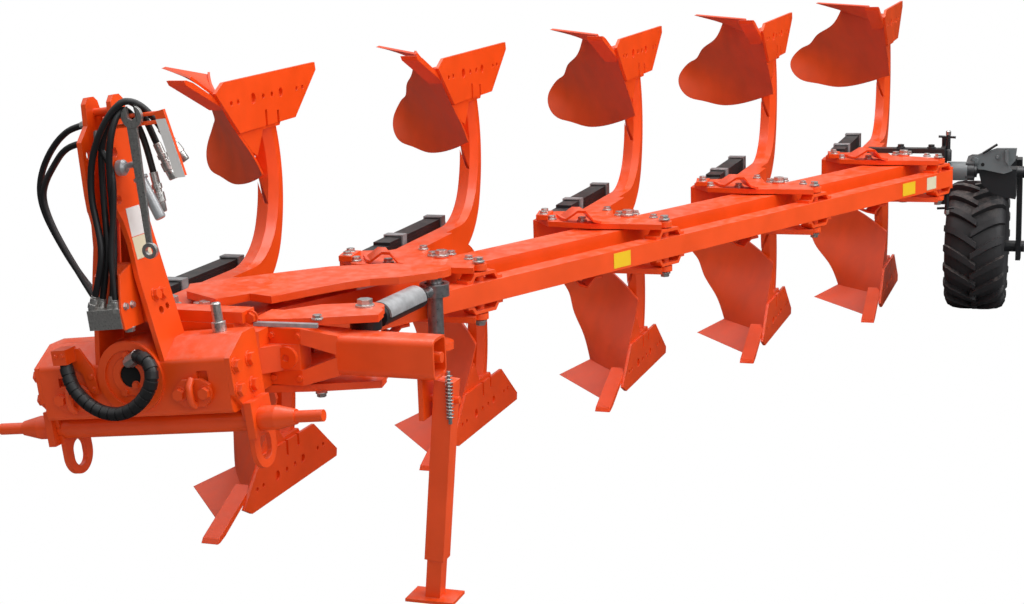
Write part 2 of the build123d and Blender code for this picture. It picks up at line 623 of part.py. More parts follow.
def headstock_box():
    """Welded cross box with the turnover bearing through it."""
    box = upright(HEAD_SIDE, -HEAD_HALF, HEAD_HALF)
    box = fillet(box.edges().filter_by(Axis.Y).sort_by(Axis.X)[-2:], 18)
    ring = rod((HEAD_REAR, 0, 0), (HEAD_FRONT + 10, 0, 0), RING_R)
    box = joined([box, ring])
    box = box - rod((HEAD_REAR - 5, 0, 0), (HEAD_FRONT + 20, 0, 0), SHAFT_R + 1.0)
    for y in (-242, 242):
        box = box - block(HEAD_FRONT - 14, HEAD_FRONT + 5, y - 18, y + 18, -84, 8)
    return box


def hitch_plate(side):
    """End plate with the oval lifting eye below the cross shaft."""
    y0, y1 = sorted((side * HITCH_PLATE_Y, side * (HITCH_PLATE_Y + HITCH_PLATE)))
    eye_x, eye_z = HITCH_EYE
    outline = [(HEAD_REAR, 96), (120, 96), (HEAD_FRONT, 42), (HEAD_FRONT, -70), (176, -118), (eye_x + HITCH_LOBE_R, -215),
               (eye_x + HITCH_LOBE_R, eye_z), (eye_x - HITCH_LOBE_R, eye_z), (HEAD_REAR - 25, -150), (HEAD_REAR, -110)]
    plate = upright(outline, y0, y1)
    plate = plate + rod((eye_x, y0, eye_z), (eye_x, y1, eye_z), HITCH_LOBE_R)
    plate = plate - rod((CROSS_X, y0 - 5, CROSS_Z), (CROSS_X, y1 + 5, CROSS_Z), CROSS_R + SHEET_GAP)
    for z in (eye_z - HITCH_EYE_RISE, eye_z + HITCH_EYE_RISE):
        plate = plate - rod((eye_x, y0 - 5, z), (eye_x, y1 + 5, z), HITCH_EYE_R)
    return plate - block(eye_x - HITCH_EYE_R, eye_x + HITCH_EYE_R, y0 - 5, y1 + 5, eye_z - HITCH_EYE_RISE, eye_z + HITCH_EYE_RISE)


def cross_shaft():
    """Lower hitch shaft with cones down to its category 3 pins."""
    body_half = HITCH_SHOULDER - 62
    bar = rod((CROSS_X, -body_half, CROSS_Z), (CROSS_X, body_half, CROSS_Z), CROSS_R)
    pieces = [bar]
    for side in (1, -1):
        y0 = side * body_half
        y1 = side * HITCH_SHOULDER
        cone_plane = Plane(origin=(CROSS_X, y0, CROSS_Z), z_dir=(0, side, 0))
        pieces.append(cone_plane * Pos(0, 0, 31) * Cone(CROSS_R, HITCH_PIN_R + 5, 62))
        pin_end = side * (HITCH_SHOULDER + HITCH_PIN_LENGTH)
        pieces.append(rod((CROSS_X, y1, CROSS_Z), (CROSS_X, pin_end, CROSS_Z), HITCH_PIN_R))
    return joined(pieces)


def shaft_clamp(side):
    """Block outside the end plate that clamps the cross shaft."""
    inner = HITCH_PLATE_Y + HITCH_PLATE
    y0, y1 = sorted((side * inner, side * (inner + CLAMP_THICK)))
    clamp = block(CROSS_X - 66, CROSS_X + 56, y0, y1, CROSS_Z - 50, CROSS_Z + 62)
    return clamp - rod((CROSS_X, y0 - 5, CROSS_Z), (CROSS_X, y1 + 5, CROSS_Z), CROSS_R + SHEET_GAP)


# the tower's two side plates: where they stand in front view (y, z), and their outline in side view (x, z)
CHEEK_OUTER = [(121, 42), (112, 100), (52, 500), (52, 900)]
CHEEK_SHEET = 16.0
CHEEK_SIDE = [(66, 42), (66, 500), (72, 770), (88, 828), (106, 842), (138, 842), (156, 824), (164, 760), (213, 716),
              (222, 560), (221, 512), (205, 470), (200, 400), (214, 300), (217, 42)]
CHEEK_HOLES = [(182, 675, 15), (200, 536, 13), (150, 188, 12), (112, 192, 10)]    # x, z, radius
REAR_WEB = (72.0, 84.0)       # x of the web between the side plates
WEB_LOW, WEB_TOP = 430.0, 800.0


def cheek(side):
    """Side plate of the tower, upright at its head and splayed below."""
    outer = [(side * y, z) for y, z in CHEEK_OUTER]
    inner = [(side * (y - CHEEK_SHEET), z) for y, z in reversed(CHEEK_OUTER)]
    plate = facing(outer + inner, 0, HEAD_FRONT + 20)
    y0, y1 = sorted((0, side * 200))
    plate = plate & upright(CHEEK_SIDE, y0, y1)
    for x, z, radius in CHEEK_HOLES + [(TOP_LINK_X, TOP_LINK_Z, TOP_LINK_R)]:
        plate = plate - rod((x, 0, z), (x, side * 200, z), radius)
    return plate


def tower():
    """Top-link tower: two side plates joined by a rear web and a bolt through their heads."""
    half = CHEEK_OUTER[2][0] - CHEEK_SHEET
    web = block(*REAR_WEB, -half, half, WEB_LOW, WEB_TOP)
    bolt = rod((110, -CHEEK_OUTER[2][0] - 12, 795), (110, CHEEK_OUTER[2][0] + 12, 795), 12)
    shell = joined([cheek(1), cheek(-1), web, bolt])
    return shell - headstock_box() - rod((HEAD_REAR - 5, 0, 0), (HEAD_FRONT + 20, 0, 0), RING_R)


# ---------------------------------------------------------------- cover, valves and hoses of the headstock
GUARD_SHEET_Y = (50.0, 56.0)
GUARD_SIDE = [(190, 160), (190, 350), (205, 345), (275, 322), (300, 215), (293, 160)]
GUARD_BODY = [(170, 160), (170, 344), (200, 340), (240, 318), (240, 160)]
GUARD_LEFT = -57.0
VALVE_FRONT = 300.0
VALVE_REAR = GUARD_BODY[-1][0]
VALVE_SIZES = (-62.0, 50.0, 166.0, 226.0)      # y and z of the valve block
HOSE_R = 10.0
LOOP_HOSE_R = 19.0
FITTING_R = 13.0

# Routes of the hoses, from the valve block over the tower's left shoulder to their couplings.
COUPLING_HOSE_1 = [
    (286, -34, 262), (284, 4, 350), (276, 14, 412), (262, 2, 480), (256, -6, 555), (254, 8, 638), (252, 32, 700),
    (248, 70, 760), (238, 110, 806), (224, 146, 826), (202, 178, 808), (178, 202, 762), (160, 214, 720),
]
COUPLING_HOSE_2 = [
    (264, -24, 250), (262, 10, 352), (250, 20, 432), (238, 20, 510), (232, 26, 596), (232, 38, 684), (230, 66, 750),
    (226, 98, 800), (208, 132, 828), (184, 160, 804), (167, 168, 758), (152, 172, 712), (143, 178, 676),
]
COUPLING_HOSE_3 = [
    (268, 14, 254), (258, 31, 345), (240, 36, 425), (244, 52, 510), (252, 64, 592), (254, 76, 668), (250, 94, 734),
    (232, 112, 786), (206, 124, 802), (180, 134, 776), (162, 140, 728), (154, 145, 680), (150, 150, 618), (148, 151, 592),
]
WEB_HOSE = [
    (286, 34, 246), (280, 36, 352), (268, 46, 424), (258, 60, 500), (252, 72, 566), (246, 74, 625), (240, 58, 672),
    (226, 28, 704), (204, 14, 728), (180, 0, 738),
]
LEFT_HOSES = [
    [(100, -54, 764), (88, -132, 758), (82, -188, 734), (80, -240, 690), (80, -284, 630), (82, -304, 566),
     (86, -294, 496), (96, -252, 408), (110, -206, 334), (124, -160, 276), (132, -128, 240)],
    [(118, -55, 712), (98, -136, 706), (88, -188, 688), (86, -226, 652), (98, -262, 604), (102, -282, 552),
     (104, -266, 470), (112, -226, 384), (124, -184, 314), (136, -150, 262), (146, -124, 226)],
]
LOOP_HOSE = [
    (252, -200, 74), (262, -194, 34), (276, -174, -12), (284, -132, -56), (290, -84, -84), (292, -30, -96),
    (292, 24, -86), (288, 72, -54), (282, 104, -10), (274, 108, 36), (262, 84, 64), (246, 50, 70), (238, 24, 58),
]
COUPLINGS = [((160, 214, 720), (140, 262, 626)), ((143, 178, 676), (138, 208, 575)), ((148, 151, 592), (148, 161, 482))]
RACK_X = 206.0
RACK_BARS = (778.0, 752.0)    # heights of the rack's two bars


def hose(points, radius):
    """Hose along straight runs joined by arcs as large as the runs allow."""
    corners = [Vector(*p) for p in points]
    radii = []
    for before, here, after in zip(corners, corners[1:], corners[2:]):
        turn = radians((here - before).get_angle(after - here))
        radii.append(0.45 * min((here - before).length, (after - here).length) / tan(turn / 2))
    path = FilletPolyline(*corners, radius=radii)
    section = Plane(origin=corners[0], z_dir=corners[1] - corners[0]) * Circle(radius)
    print("hose", round(path.length), "mm long, tightest radius", round(min(radii)))
    return sweep(section, path=path)


def guard_box():
    """Sheet cover between the tower's side plates, with its longer left side."""
    body = upright(GUARD_BODY, GUARD_LEFT, GUARD_SHEET_Y[0])
    side = upright(GUARD_SIDE, *GUARD_SHEET_Y)
    inner = [(y - CHEEK_SHEET - SHEET_GAP, z) for y, z in CHEEK_OUTER]
    low, high = 160.0, 340.0
    slope = (inner[1][0] - inner[2][0]) / (inner[2][1] - inner[1][1])
    strip = mirrored([(inner[1][0] - slope * (low - inner[1][1]), low), (inner[1][0] - slope * (high - inner[1][1]), high)])
    return joined([body, side, facing(strip, GUARD_BODY[0][0], GUARD_BODY[0][0] + 14)])


def fitting(points, radius, reach=26.0):
    """Hexagon-sized sleeve on a hose's first stretch, down to the valve block."""
    start = Vector(*points[0])
    back = (start - Vector(*points[1])).normalized()
    return rod(tuple(start), tuple(start + back * reach), radius)


def valve_block():
    """Valve block in front of the cover with the sleeves of its hoses."""
    y0, y1, z0, z1 = VALVE_SIZES
    body = block(VALVE_REAR, VALVE_FRONT, y0, y1, z0, z1)
    sleeves = [fitting(route, FITTING_R, 40.0) for route in (COUPLING_HOSE_1, COUPLING_HOSE_2, COUPLING_HOSE_3, WEB_HOSE)]
    return joined([body] + sleeves) - upright(GUARD_BODY, GUARD_LEFT, GUARD_SHEET_Y[0]) - upright(GUARD_SIDE, *GUARD_SHEET_Y)


def coupling_rack():
    """Two bars across to a slanting plate that holds the couplings."""
    pieces = [rod((RACK_X, CHEEK_OUTER[2][0] - 2, z), (RACK_X, 246, z), 6) for z in RACK_BARS]
    strip = Plane(origin=(RACK_X, 240, 784), x_dir=(1, 0, 0), z_dir=(0, 36, -196)) * block(-6, 6, -16, 16, 0, 200)
    return joined(pieces + [strip])


HOSE_ROUTES = {
    "coupling_hose_1": (COUPLING_HOSE_1, HOSE_R),
    "coupling_hose_2": (COUPLING_HOSE_2, HOSE_R),
    "coupling_hose_3": (COUPLING_HOSE_3, HOSE_R),
    "web_hose": (WEB_HOSE, HOSE_R - 1),
}


TOWER_TUBES = [hose(*route) for route in HOSE_ROUTES.values()]

HEAD_PIECES = {
    "headstock_box": [headstock_box()],
    "hitch_plates": [hitch_plate(1), hitch_plate(-1)],
    "shaft_clamps": [shaft_clamp(1), shaft_clamp(-1)],
    "cross_shaft": [cross_shaft()],
    "tower": [tower()],
    "guard_box": [guard_box()],
    "valve_block": [valve_block()],
    "coupling_rack": [coupling_rack()],
    "hose_couplings": [rod(*ends, FITTING_R) - tube for ends, tube in zip(COUPLINGS, TOWER_TUBES)],
    "tower_hoses": TOWER_TUBES,
    "left_hoses": [hose(route, HOSE_R) for route in LEFT_HOSES],
    "loop_hose": [hose(LOOP_HOSE, LOOP_HOSE_R)],
}
for node, shapes in HEAD_PIECES.items():
    keep(node, *[HEAD_PLANE * s for s in shapes])

# ---------------------------------------------------------------- depth wheel
ARM_SHEET = 25.0
WHEEL_ARM_Y = WHEEL_Y + TYRE_WIDTH / 2 + 45
BRACKET_END_Y = 240.0
LAST_SHIFT = (-(BODY_COUNT - 1) * BODY_PITCH, (BODY_COUNT - 1) * FURROW_WIDTH)


def tyre():
    """Agricultural tyre as a turned ring."""
    half = TYRE_WIDTH / 2
    profile = [(RIM_R, -half + 60), (RIM_R + 8, -half + 38), (TYRE_R - 95, -half), (TYRE_R - 50, -half), (TYRE_R - 12, -half + 24),
               (TYRE_R, -half + 60), (TYRE_R, half - 60), (TYRE_R - 12, half - 24), (TYRE_R - 50, half), (TYRE_R - 95, half),
               (RIM_R + 8, half - 38), (RIM_R, half - 60)]
    face = Face(Wire.make_polygon([(r, 0, y) for r, y in profile], close=True))
    ring = revolve(face, Axis.Z, 360)
    return Pos(WHEEL_X, WHEEL_Y, GROUND + TYRE_R) * Rot(90, 0, 0) * ring


def rim():
    """Dished steel rim with its hub."""
    half = TYRE_WIDTH / 2
    profile = [(RIM_R - SHEET_GAP, -half + 58), (RIM_R - SHEET_GAP, half - 58), (RIM_R - 12, half - 58), (RIM_R - 12, 12), (70, 12),
               (70, 50), (AXLE_R + PIN_PLAY, 50), (AXLE_R + PIN_PLAY, -130), (62, -130), (62, -4), (RIM_R - 12, -4), (RIM_R - 12, -half + 58)]
    face = Face(Wire.make_polygon([(r, 0, y) for r, y in profile], close=True))
    disc = revolve(face, Axis.Z, 360)
    return Pos(WHEEL_X, WHEEL_Y, GROUND + TYRE_R) * Rot(90, 0, 0) * disc


def wheel_arm():
    """Swinging arm: sleeve on the bracket's tube, gusset over the tyre, drop arm and axle."""
    sleeve_y0 = LAST_SHIFT[1] + BRACKET_END_Y + 8
    axle_z = GROUND + TYRE_R
    sleeve = rod((SWING_AXIS_X, sleeve_y0, 0), (SWING_AXIS_X, sleeve_y0 + 130, 0), 46)
    gusset_y0 = sleeve_y0 + 90
    gusset = upright([(SWING_AXIS_X + 46, -30), (SWING_AXIS_X + 30, 44), (SWING_AXIS_X - 120, 60), (SWING_AXIS_X - 400, 30),
                      (SWING_AXIS_X - 400, -55), (SWING_AXIS_X - 120, -46)], gusset_y0, gusset_y0 + 40)
    beam_over = block(SWING_AXIS_X - 400, SWING_AXIS_X - 290, gusset_y0, WHEEL_ARM_Y, -55, 26)
    drop = upright([(SWING_AXIS_X - 400, 20), (SWING_AXIS_X - 290, 20), (WHEEL_X + 120, -120), (WHEEL_X + 48, axle_z + 10),
                    (WHEEL_X + 40, axle_z - 70), (WHEEL_X - 40, axle_z - 70), (WHEEL_X - 48, axle_z + 10), (WHEEL_X + 20, -120)],
                   WHEEL_ARM_Y, WHEEL_ARM_Y + ARM_SHEET)
    axle = rod((WHEEL_X, WHEEL_Y - 60, axle_z), (WHEEL_X, WHEEL_ARM_Y + ARM_SHEET + 18, axle_z), AXLE_R)
    arm = joined([sleeve, gusset, beam_over, drop, axle])
    return arm - rod((SWING_AXIS_X, sleeve_y0 - 5, 0), (SWING_AXIS_X, sleeve_y0 + 150, 0), 31)


def wheel_bracket():
    """Bars bolted on the last leg bracket, with the end plate and the arm's tube."""
    x0 = LAST_SHIFT[0]
    y0 = LAST_SHIFT[1]
    pieces = []
    for side in (1, -1):
        lows = sorted((side * PLATE_HIGH, side * (PLATE_HIGH + 24)))
        pieces.append(block(x0 - 400, x0 - 345, y0 - 140, y0 + BRACKET_END_Y, *lows))
        lows = sorted((side * 60, side * (PLATE_HIGH + 24)))
        pieces.append(block(x0 - 512, x0 - 345, y0 + BRACKET_END_Y - 24, y0 + BRACKET_END_Y, *lows))
        lows = sorted((side * (PLATE_HIGH + 10), side * (PLATE_HIGH + 70)))
        pieces.append(post((x0 - 470, y0 + BRACKET_END_Y - 12), 13, *lows))
    pieces.append(block(x0 - 512, x0 - 420, y0 + BRACKET_END_Y - 24, y0 + BRACKET_END_Y, -60, 60))
    pieces.append(rod((SWING_AXIS_X, y0 + BRACKET_END_Y - 24, 0), (SWING_AXIS_X, y0 + BRACKET_END_Y + 150, 0), 30))
    return joined(pieces)


keep("tyre", tyre())
keep("rim", rim())
keep("wheel_arm", wheel_arm())
keep("wheel_bracket", wheel_bracket())

# ---------------------------------------------------------------- parking stand
STAND_LEAN = Vector(0, STAND_FOOT_Y - STAND_TOP_Y, GROUND - STAND_TOP_Z)
STAND_PLANE = Plane(origin=(STAND_X, STAND_TOP_Y, STAND_TOP_Z), x_dir=(1, 0, 0), z_dir=STAND_LEAN)
STAND_LENGTH = STAND_LEAN.length
OUTER_LENGTH = 600.0
STAND_PIN_R = 12.0


def stand_outer():
    """Square outer tube, open below."""
    half = STAND_TUBE / 2
    tube = block(-half, half, -half, half, 0, OUTER_LENGTH)
    inner = half - STAND_WALL
    tube = tube - block(-inner, inner, -inner, inner, 90, OUTER_LENGTH + 5)
    bore = rod((STAND_X, STAND_TOP_Y - 100, STAND_HINGE_Z), (STAND_X, STAND_TOP_Y + 100, STAND_HINGE_Z), STAND_PIN_R + PIN_PLAY)
    return STAND_PLANE * tube - bore


def stand_inner():
    """Inner tube that slides in the outer one, with its foot."""
    half = STAND_TUBE / 2 - STAND_WALL - 1.0
    leg_tube = block(-half, half, -half, half, OUTER_LENGTH - 180, STAND_LENGTH - 6)
    piece = STAND_PLANE * leg_tube
    foot = block(STAND_X - 55, STAND_X + 55, STAND_FOOT_Y - 82, STAND_FOOT_Y + 82, GROUND, GROUND + FOOT_THICK)
    return piece + foot


def stand_bracket():
    """Cheek under the fork tube with the stand's hinge pin."""
    face_y = STAND_TOP_Y - CHEEK_INSET
    cheek = block(STAND_X - 70, STAND_X + 70, face_y, face_y + 16, STAND_HINGE_Z - 55, -TUBE_HIGH / 2)
    pin = rod((STAND_X, face_y, STAND_HINGE_Z), (STAND_X, STAND_TOP_Y + 40, STAND_HINGE_Z), STAND_PIN_R)
    return cheek + pin


keep("stand_outer", stand_outer())
keep("stand_inner", stand_inner())
keep("stand_bracket", stand_bracket())

# ---------------------------------------------------------------- down onto the base box, and out
boxes = [shape.bounding_box() for shape in PARTS.values()]
LOW = Vector(min(b.min.X for b in boxes), min(b.min.Y for b in boxes), min(b.min.Z for b in boxes))
HIGH = Vector(max(b.max.X for b in boxes), max(b.max.Y for b in boxes), max(b.max.Z for b in boxes))
SHIFT = Vector(-(LOW.X + HIGH.X) / 2, -(LOW.Y + HIGH.Y) / 2, -LOW.Z)
print("shift", round(SHIFT.X, 4), round(SHIFT.Y, 4), round(SHIFT.Z, 4), "size", HIGH - LOW)
for node, shape in PARTS.items():
    export_step(Pos(SHIFT) * shape, f"parts/{node}.step")
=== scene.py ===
"""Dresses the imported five-body reversible plough: finishes, bolts, tyre tread, hoses and small fittings."""

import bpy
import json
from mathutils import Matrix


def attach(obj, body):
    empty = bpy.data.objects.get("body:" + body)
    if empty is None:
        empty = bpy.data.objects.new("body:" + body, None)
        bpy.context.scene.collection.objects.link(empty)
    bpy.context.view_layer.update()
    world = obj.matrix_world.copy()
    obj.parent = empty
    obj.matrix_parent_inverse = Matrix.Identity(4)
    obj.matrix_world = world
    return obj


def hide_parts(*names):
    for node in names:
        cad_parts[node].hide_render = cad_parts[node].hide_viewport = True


bl_info = {
    "name": "Reversible Plough",
    "version": (1, 0, 0),
    "blender": (4, 5, 0),
    "location": "View3D > Sidebar > Plough",
    "description": "Finishes and fittings for a five-body reversible plough",
    "category": "Object",
}

import json
from math import atan2, cos, pi, radians, sin

import bmesh
import bpy
from mathutils import Matrix, Vector

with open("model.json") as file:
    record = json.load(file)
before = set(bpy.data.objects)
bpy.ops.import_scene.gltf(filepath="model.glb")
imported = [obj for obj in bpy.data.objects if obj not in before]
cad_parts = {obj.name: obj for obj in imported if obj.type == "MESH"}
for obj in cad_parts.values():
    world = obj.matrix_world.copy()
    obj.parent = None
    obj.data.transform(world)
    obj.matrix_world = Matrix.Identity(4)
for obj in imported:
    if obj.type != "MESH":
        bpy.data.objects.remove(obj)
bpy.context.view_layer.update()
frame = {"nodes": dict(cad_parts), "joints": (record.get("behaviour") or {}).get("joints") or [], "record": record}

# ------------------------------------------------------------------ places taken from the frame
# The drawing's own origin lies on the turnover axis's height, a little to its right.
TURNOVER = next(j for j in frame["joints"] if j["name"] == "turnover")["pos_m"]
AXIS_X, AXIS_Y = 0.130, 0.051
ORIGIN = Vector((TURNOVER[0] - AXIS_X, TURNOVER[1] - AXIS_Y, TURNOVER[2]))
LEG_HINGES = [
    Vector(next(j for j in frame["joints"] if j["name"] == f"bottom_{n}_hinge")["pos_m"]) for n in range(1, 6)
]
BODY_STEP = LEG_HINGES[1] - LEG_HINGES[0]
BEAM_ANGLE = atan2(BODY_STEP.y, -BODY_STEP.x)
HEAD_TILT = radians(6.0)
UP = Vector((0, 0, 1))


def place(x, y, z):
    """Point given from the drawing's origin."""
    return ORIGIN + Vector((x, y, z))


def on_bottom(index, x, y, z):
    """Point given on the first bottom, moved to bottom number index + 1."""
    return place(x, y, z) + BODY_STEP * index


def on_beam(s, o, z):
    """Point s back along the beam, o across it to the front left."""
    c, n = cos(BEAM_ANGLE), sin(BEAM_ANGLE)
    return place(-s * c + o * n, s * n + o * c, z)


def on_head(x, y, z):
    """Point given on the headstock, which is rolled about the turnover axis as parked."""
    c, n = cos(HEAD_TILT), sin(HEAD_TILT)
    return place(x, AXIS_Y + y * c - z * n, y * n + z * c)


def head_way(x, y, z):
    """Direction given on the headstock."""
    c, n = cos(HEAD_TILT), sin(HEAD_TILT)
    return Vector((x, y * c - z * n, y * n + z * c))


# ------------------------------------------------------------------ node groups for the finishes
def new_group(name, inputs, outputs):
    """Empty shader node group with named sockets."""
    group = bpy.data.node_groups.new(name, "ShaderNodeTree")
    for label, kind, value in inputs:
        socket = group.interface.new_socket(label, in_out="INPUT", socket_type=kind)
        socket.default_value = value
    for label, kind in outputs:
        group.interface.new_socket(label, in_out="OUTPUT", socket_type=kind)
    return group, group.nodes.new("NodeGroupInput"), group.nodes.new("NodeGroupOutput")


def math_node(tree, operation, first, second=None, clamp=False):
    """Math node with its inputs linked or set."""
    node = tree.nodes.new("ShaderNodeMath")
    node.operation = operation
    node.use_clamp = clamp
    for socket, value in zip(node.inputs, (first, second)):
        if value is None:
            continue
        if isinstance(value, (int, float)):
            socket.default_value = value
        else:
            tree.links.new(value, socket)
    return node.outputs[0]


def mix_colour(tree, factor, first, second, blend="MIX"):
    """Colour mix with its inputs linked or set."""
    node = tree.nodes.new("ShaderNodeMix")
    node.data_type = "RGBA"
    node.blend_type = blend
    for socket, value in ((node.inputs[0], factor), (node.inputs[6], first), (node.inputs[7], second)):
        if isinstance(value, bpy.types.NodeSocket):
            tree.links.new(value, socket)
        else:
            socket.default_value = value
    return node.outputs[2]


def noise(tree, scale, detail=3.0, rough=0.55):
    """Noise on the piece's own coordinates."""
    where = tree.nodes.new("ShaderNodeTexCoord")
    node = tree.nodes.new("ShaderNodeTexNoise")
    node.inputs["Detail"].default_value = detail
    node.inputs["Roughness"].default_value = rough
    tree.links.new(where.outputs["Object"], node.inputs["Vector"])
    if isinstance(scale, bpy.types.NodeSocket):
        tree.links.new(scale, node.inputs["Scale"])
    else:
        node.inputs["Scale"].default_value = scale
    return node.outputs["Fac"]


def ramp(tree, value, low, high):
    """Value stretched so that low gives 0 and high gives 1."""
    node = tree.nodes.new("ShaderNodeMapRange")
    node.inputs["From Min"].default_value = low
    node.inputs["From Max"].default_value = high
    tree.links.new(value, node.inputs["Value"])
    return node.outputs["Result"]


def make_coat_group():
    """Sprayed paint: slow change of shade, a pale film on what faces up that is partly dust and partly painted sheen,
    and orange peel.
    """
    group, given, out = new_group(
        "Sprayed coat",
        [
            ("Colour", "NodeSocketColor", (0.8, 0.1, 0.02, 1)),
            ("Dust and sheen", "NodeSocketFloat", 0.1),
            ("Roughness", "NodeSocketFloat", 0.3),
            ("Peel", "NodeSocketFloat", 0.1),
        ],
        [("Colour", "NodeSocketColor"), ("Roughness", "NodeSocketFloat"), ("Height", "NodeSocketFloat")],
    )
    slow = noise(group, 6.0, 2.0)
    shade = mix_colour(group, ramp(group, slow, 0.3, 0.7), (0.90, 0.90, 0.90, 1), (1.04, 1.04, 1.04, 1))
    tinted = mix_colour(group, 1.0, given.outputs["Colour"], shade, "MULTIPLY")
    facing = group.nodes.new("ShaderNodeNewGeometry")
    parts = group.nodes.new("ShaderNodeSeparateXYZ")
    group.links.new(facing.outputs["Normal"], parts.inputs[0])
    # Upward faces are paled in patches towards pink-grey: partly dust, partly a painted sheen standing in for the sky's
    # reflection on top faces.
    upward = ramp(group, parts.outputs["Z"], 0.55, 1.0)
    patches = ramp(group, noise(group, 22.0, 5.0, 0.7), 0.42, 0.72)
    dust_and_sheen = math_node(group, "MULTIPLY", math_node(group, "MULTIPLY", upward, patches), given.outputs["Dust and sheen"], True)
    group.links.new(mix_colour(group, dust_and_sheen, tinted, (0.62, 0.50, 0.44, 1)), out.inputs["Colour"])
    fine = noise(group, 260.0, 2.0)
    spread = math_node(group, "MULTIPLY", math_node(group, "SUBTRACT", slow, 0.5), 0.16)
    base = math_node(group, "ADD", given.outputs["Roughness"], spread)
    group.links.new(math_node(group, "ADD", base, math_node(group, "MULTIPLY", dust_and_sheen, 0.5)), out.inputs["Roughness"])
    group.links.new(math_node(group, "MULTIPLY", fine, given.outputs["Peel"]), out.inputs["Height"])
    return group


def make_metal_group():
    """Bare or plated metal: cloudy shade and fine bumps from the same noise."""
    group, given, out = new_group(
        "Handled metal",
        [
            ("Colour", "NodeSocketColor", (0.5, 0.5, 0.5, 1)),
            ("Roughness", "NodeSocketFloat", 0.35),
            ("Grain", "NodeSocketFloat", 120.0),
        ],
        [("Colour", "NodeSocketColor"), ("Roughness", "NodeSocketFloat"), ("Height", "NodeSocketFloat")],
    )
    cloud = noise(group, given.outputs["Grain"], 4.0, 0.6)
    shade = mix_colour(group, ramp(group, cloud, 0.35, 0.65), (0.78, 0.78, 0.78, 1), (1.05, 1.05, 1.05, 1))
    group.links.new(mix_colour(group, 1.0, given.outputs["Colour"], shade, "MULTIPLY"), out.inputs["Colour"])
    spread = math_node(group, "MULTIPLY", math_node(group, "SUBTRACT", cloud, 0.5), 0.3)
    group.links.new(math_node(group, "ADD", given.outputs["Roughness"], spread), out.inputs["Roughness"])
    group.links.new(cloud, out.inputs["Height"])
    return group


COAT = make_coat_group()
METAL = make_metal_group()
EDGE_ROUND = 0.0022

# name: (group, colour property, dust and painted sheen for a coat or grain for a metal, roughness, peel, metallic,
# coat, bump)
FINISH_SPECS = {
    "orange": (COAT, "orange", 0.22, 0.36, 0.15, 0.0, 0.12, 0.1),
    "board": (COAT, "board", 0.04, 0.38, 0.05, 0.0, 0.06, 0.03),
    "black": (COAT, "black", 0.10, 0.40, 0.4, 0.0, 0.15, 0.1),
    "grey": (COAT, "grey", 0.10, 0.40, 0.4, 0.0, 0.10, 0.1),
    "zinc": (METAL, "zinc", 150.0, 0.32, 0.0, 0.85, 0.0, 0.1),
    "steel": (METAL, "steel", 60.0, 0.32, 0.0, 0.9, 0.0, 0.05),
    "silver": (METAL, "silver", 30.0, 0.36, 0.0, 0.35, 0.0, 0.05),
    "rubber": (COAT, "rubber", 0.30, 0.60, 1.0, 0.0, 0.0, 0.4),
    "hose": (COAT, "hose", 0.05, 0.45, 0.8, 0.0, 0.0, 0.2),
    "label": (COAT, "label", 0.0, 0.45, 0.1, 0.0, 0.0, 0.0),
    "notice": (COAT, "notice", 0.0, 0.45, 0.1, 0.0, 0.0, 0.0),
    "yellow": (COAT, "yellow", 0.0, 0.30, 0.1, 0.0, 0.3, 0.0),
    # Painted shade: near-black standing in for the unlit inside of a bore, laid on flat discs.
    "hollow": (COAT, "hollow", 0.0, 0.90, 0.1, 0.0, 0.0, 0.0),
}
SLOT_FINISHES = {
    "orange_paint": "orange",
    "black_paint": "black",
    "steel": "steel",
    "silver": "silver",
    "hose_rubber": "hose",
    "tyre": "rubber",
}
made = {}


def finish(key):
    """Material of that name, made the first time it is asked for."""
    if key in made:
        return made[key]
    group, colour, extra, rough, peel, metallic, coat, bump = FINISH_SPECS[key]
    material = bpy.data.materials.new(key + " finish")
    material.use_nodes = True
    tree = material.node_tree
    shader = tree.nodes["Principled BSDF"]
    node = tree.nodes.new("ShaderNodeGroup")
    node.node_tree = group
    paint = bpy.context.scene.plough_paint
    node.inputs["Colour"].default_value = (*getattr(paint, colour), 1)
    node.inputs["Roughness"].default_value = rough
    if group is COAT:
        node.inputs["Dust and sheen"].default_value = extra * paint.dust_and_sheen
        node.inputs["Peel"].default_value = peel
    else:
        node.inputs["Grain"].default_value = extra
    tree.links.new(node.outputs["Colour"], shader.inputs["Base Color"])
    tree.links.new(node.outputs["Roughness"], shader.inputs["Roughness"])
    shader.inputs["Metallic"].default_value = metallic
    shader.inputs["Coat Weight"].default_value = coat
    shader.inputs["Coat Roughness"].default_value = 0.12
    relief = tree.nodes.new("ShaderNodeBump")
    relief.inputs["Strength"].default_value = bump
    relief.inputs["Distance"].default_value = 0.0006
    tree.links.new(node.outputs["Height"], relief.inputs["Height"])
    bevel = tree.nodes.new("ShaderNodeBevel")
    bevel.samples = 4
    bevel.inputs["Radius"].default_value = EDGE_ROUND
    tree.links.new(bevel.outputs["Normal"], relief.inputs["Normal"])
    tree.links.new(relief.outputs["Normal"], shader.inputs["Normal"])
    made[key] = material
    return material


# ------------------------------------------------------------------ sizes and colours
def colour(name, description, value):
    """Colour property."""
    return bpy.props.FloatVectorProperty(
        name=name, description=description, default=value, subtype="COLOR", size=3, min=0.0, max=1.0
    )


def length(name, description, value):
    """Length property."""
    return bpy.props.FloatProperty(name=name, description=description, default=value, unit="LENGTH", min=0.0)


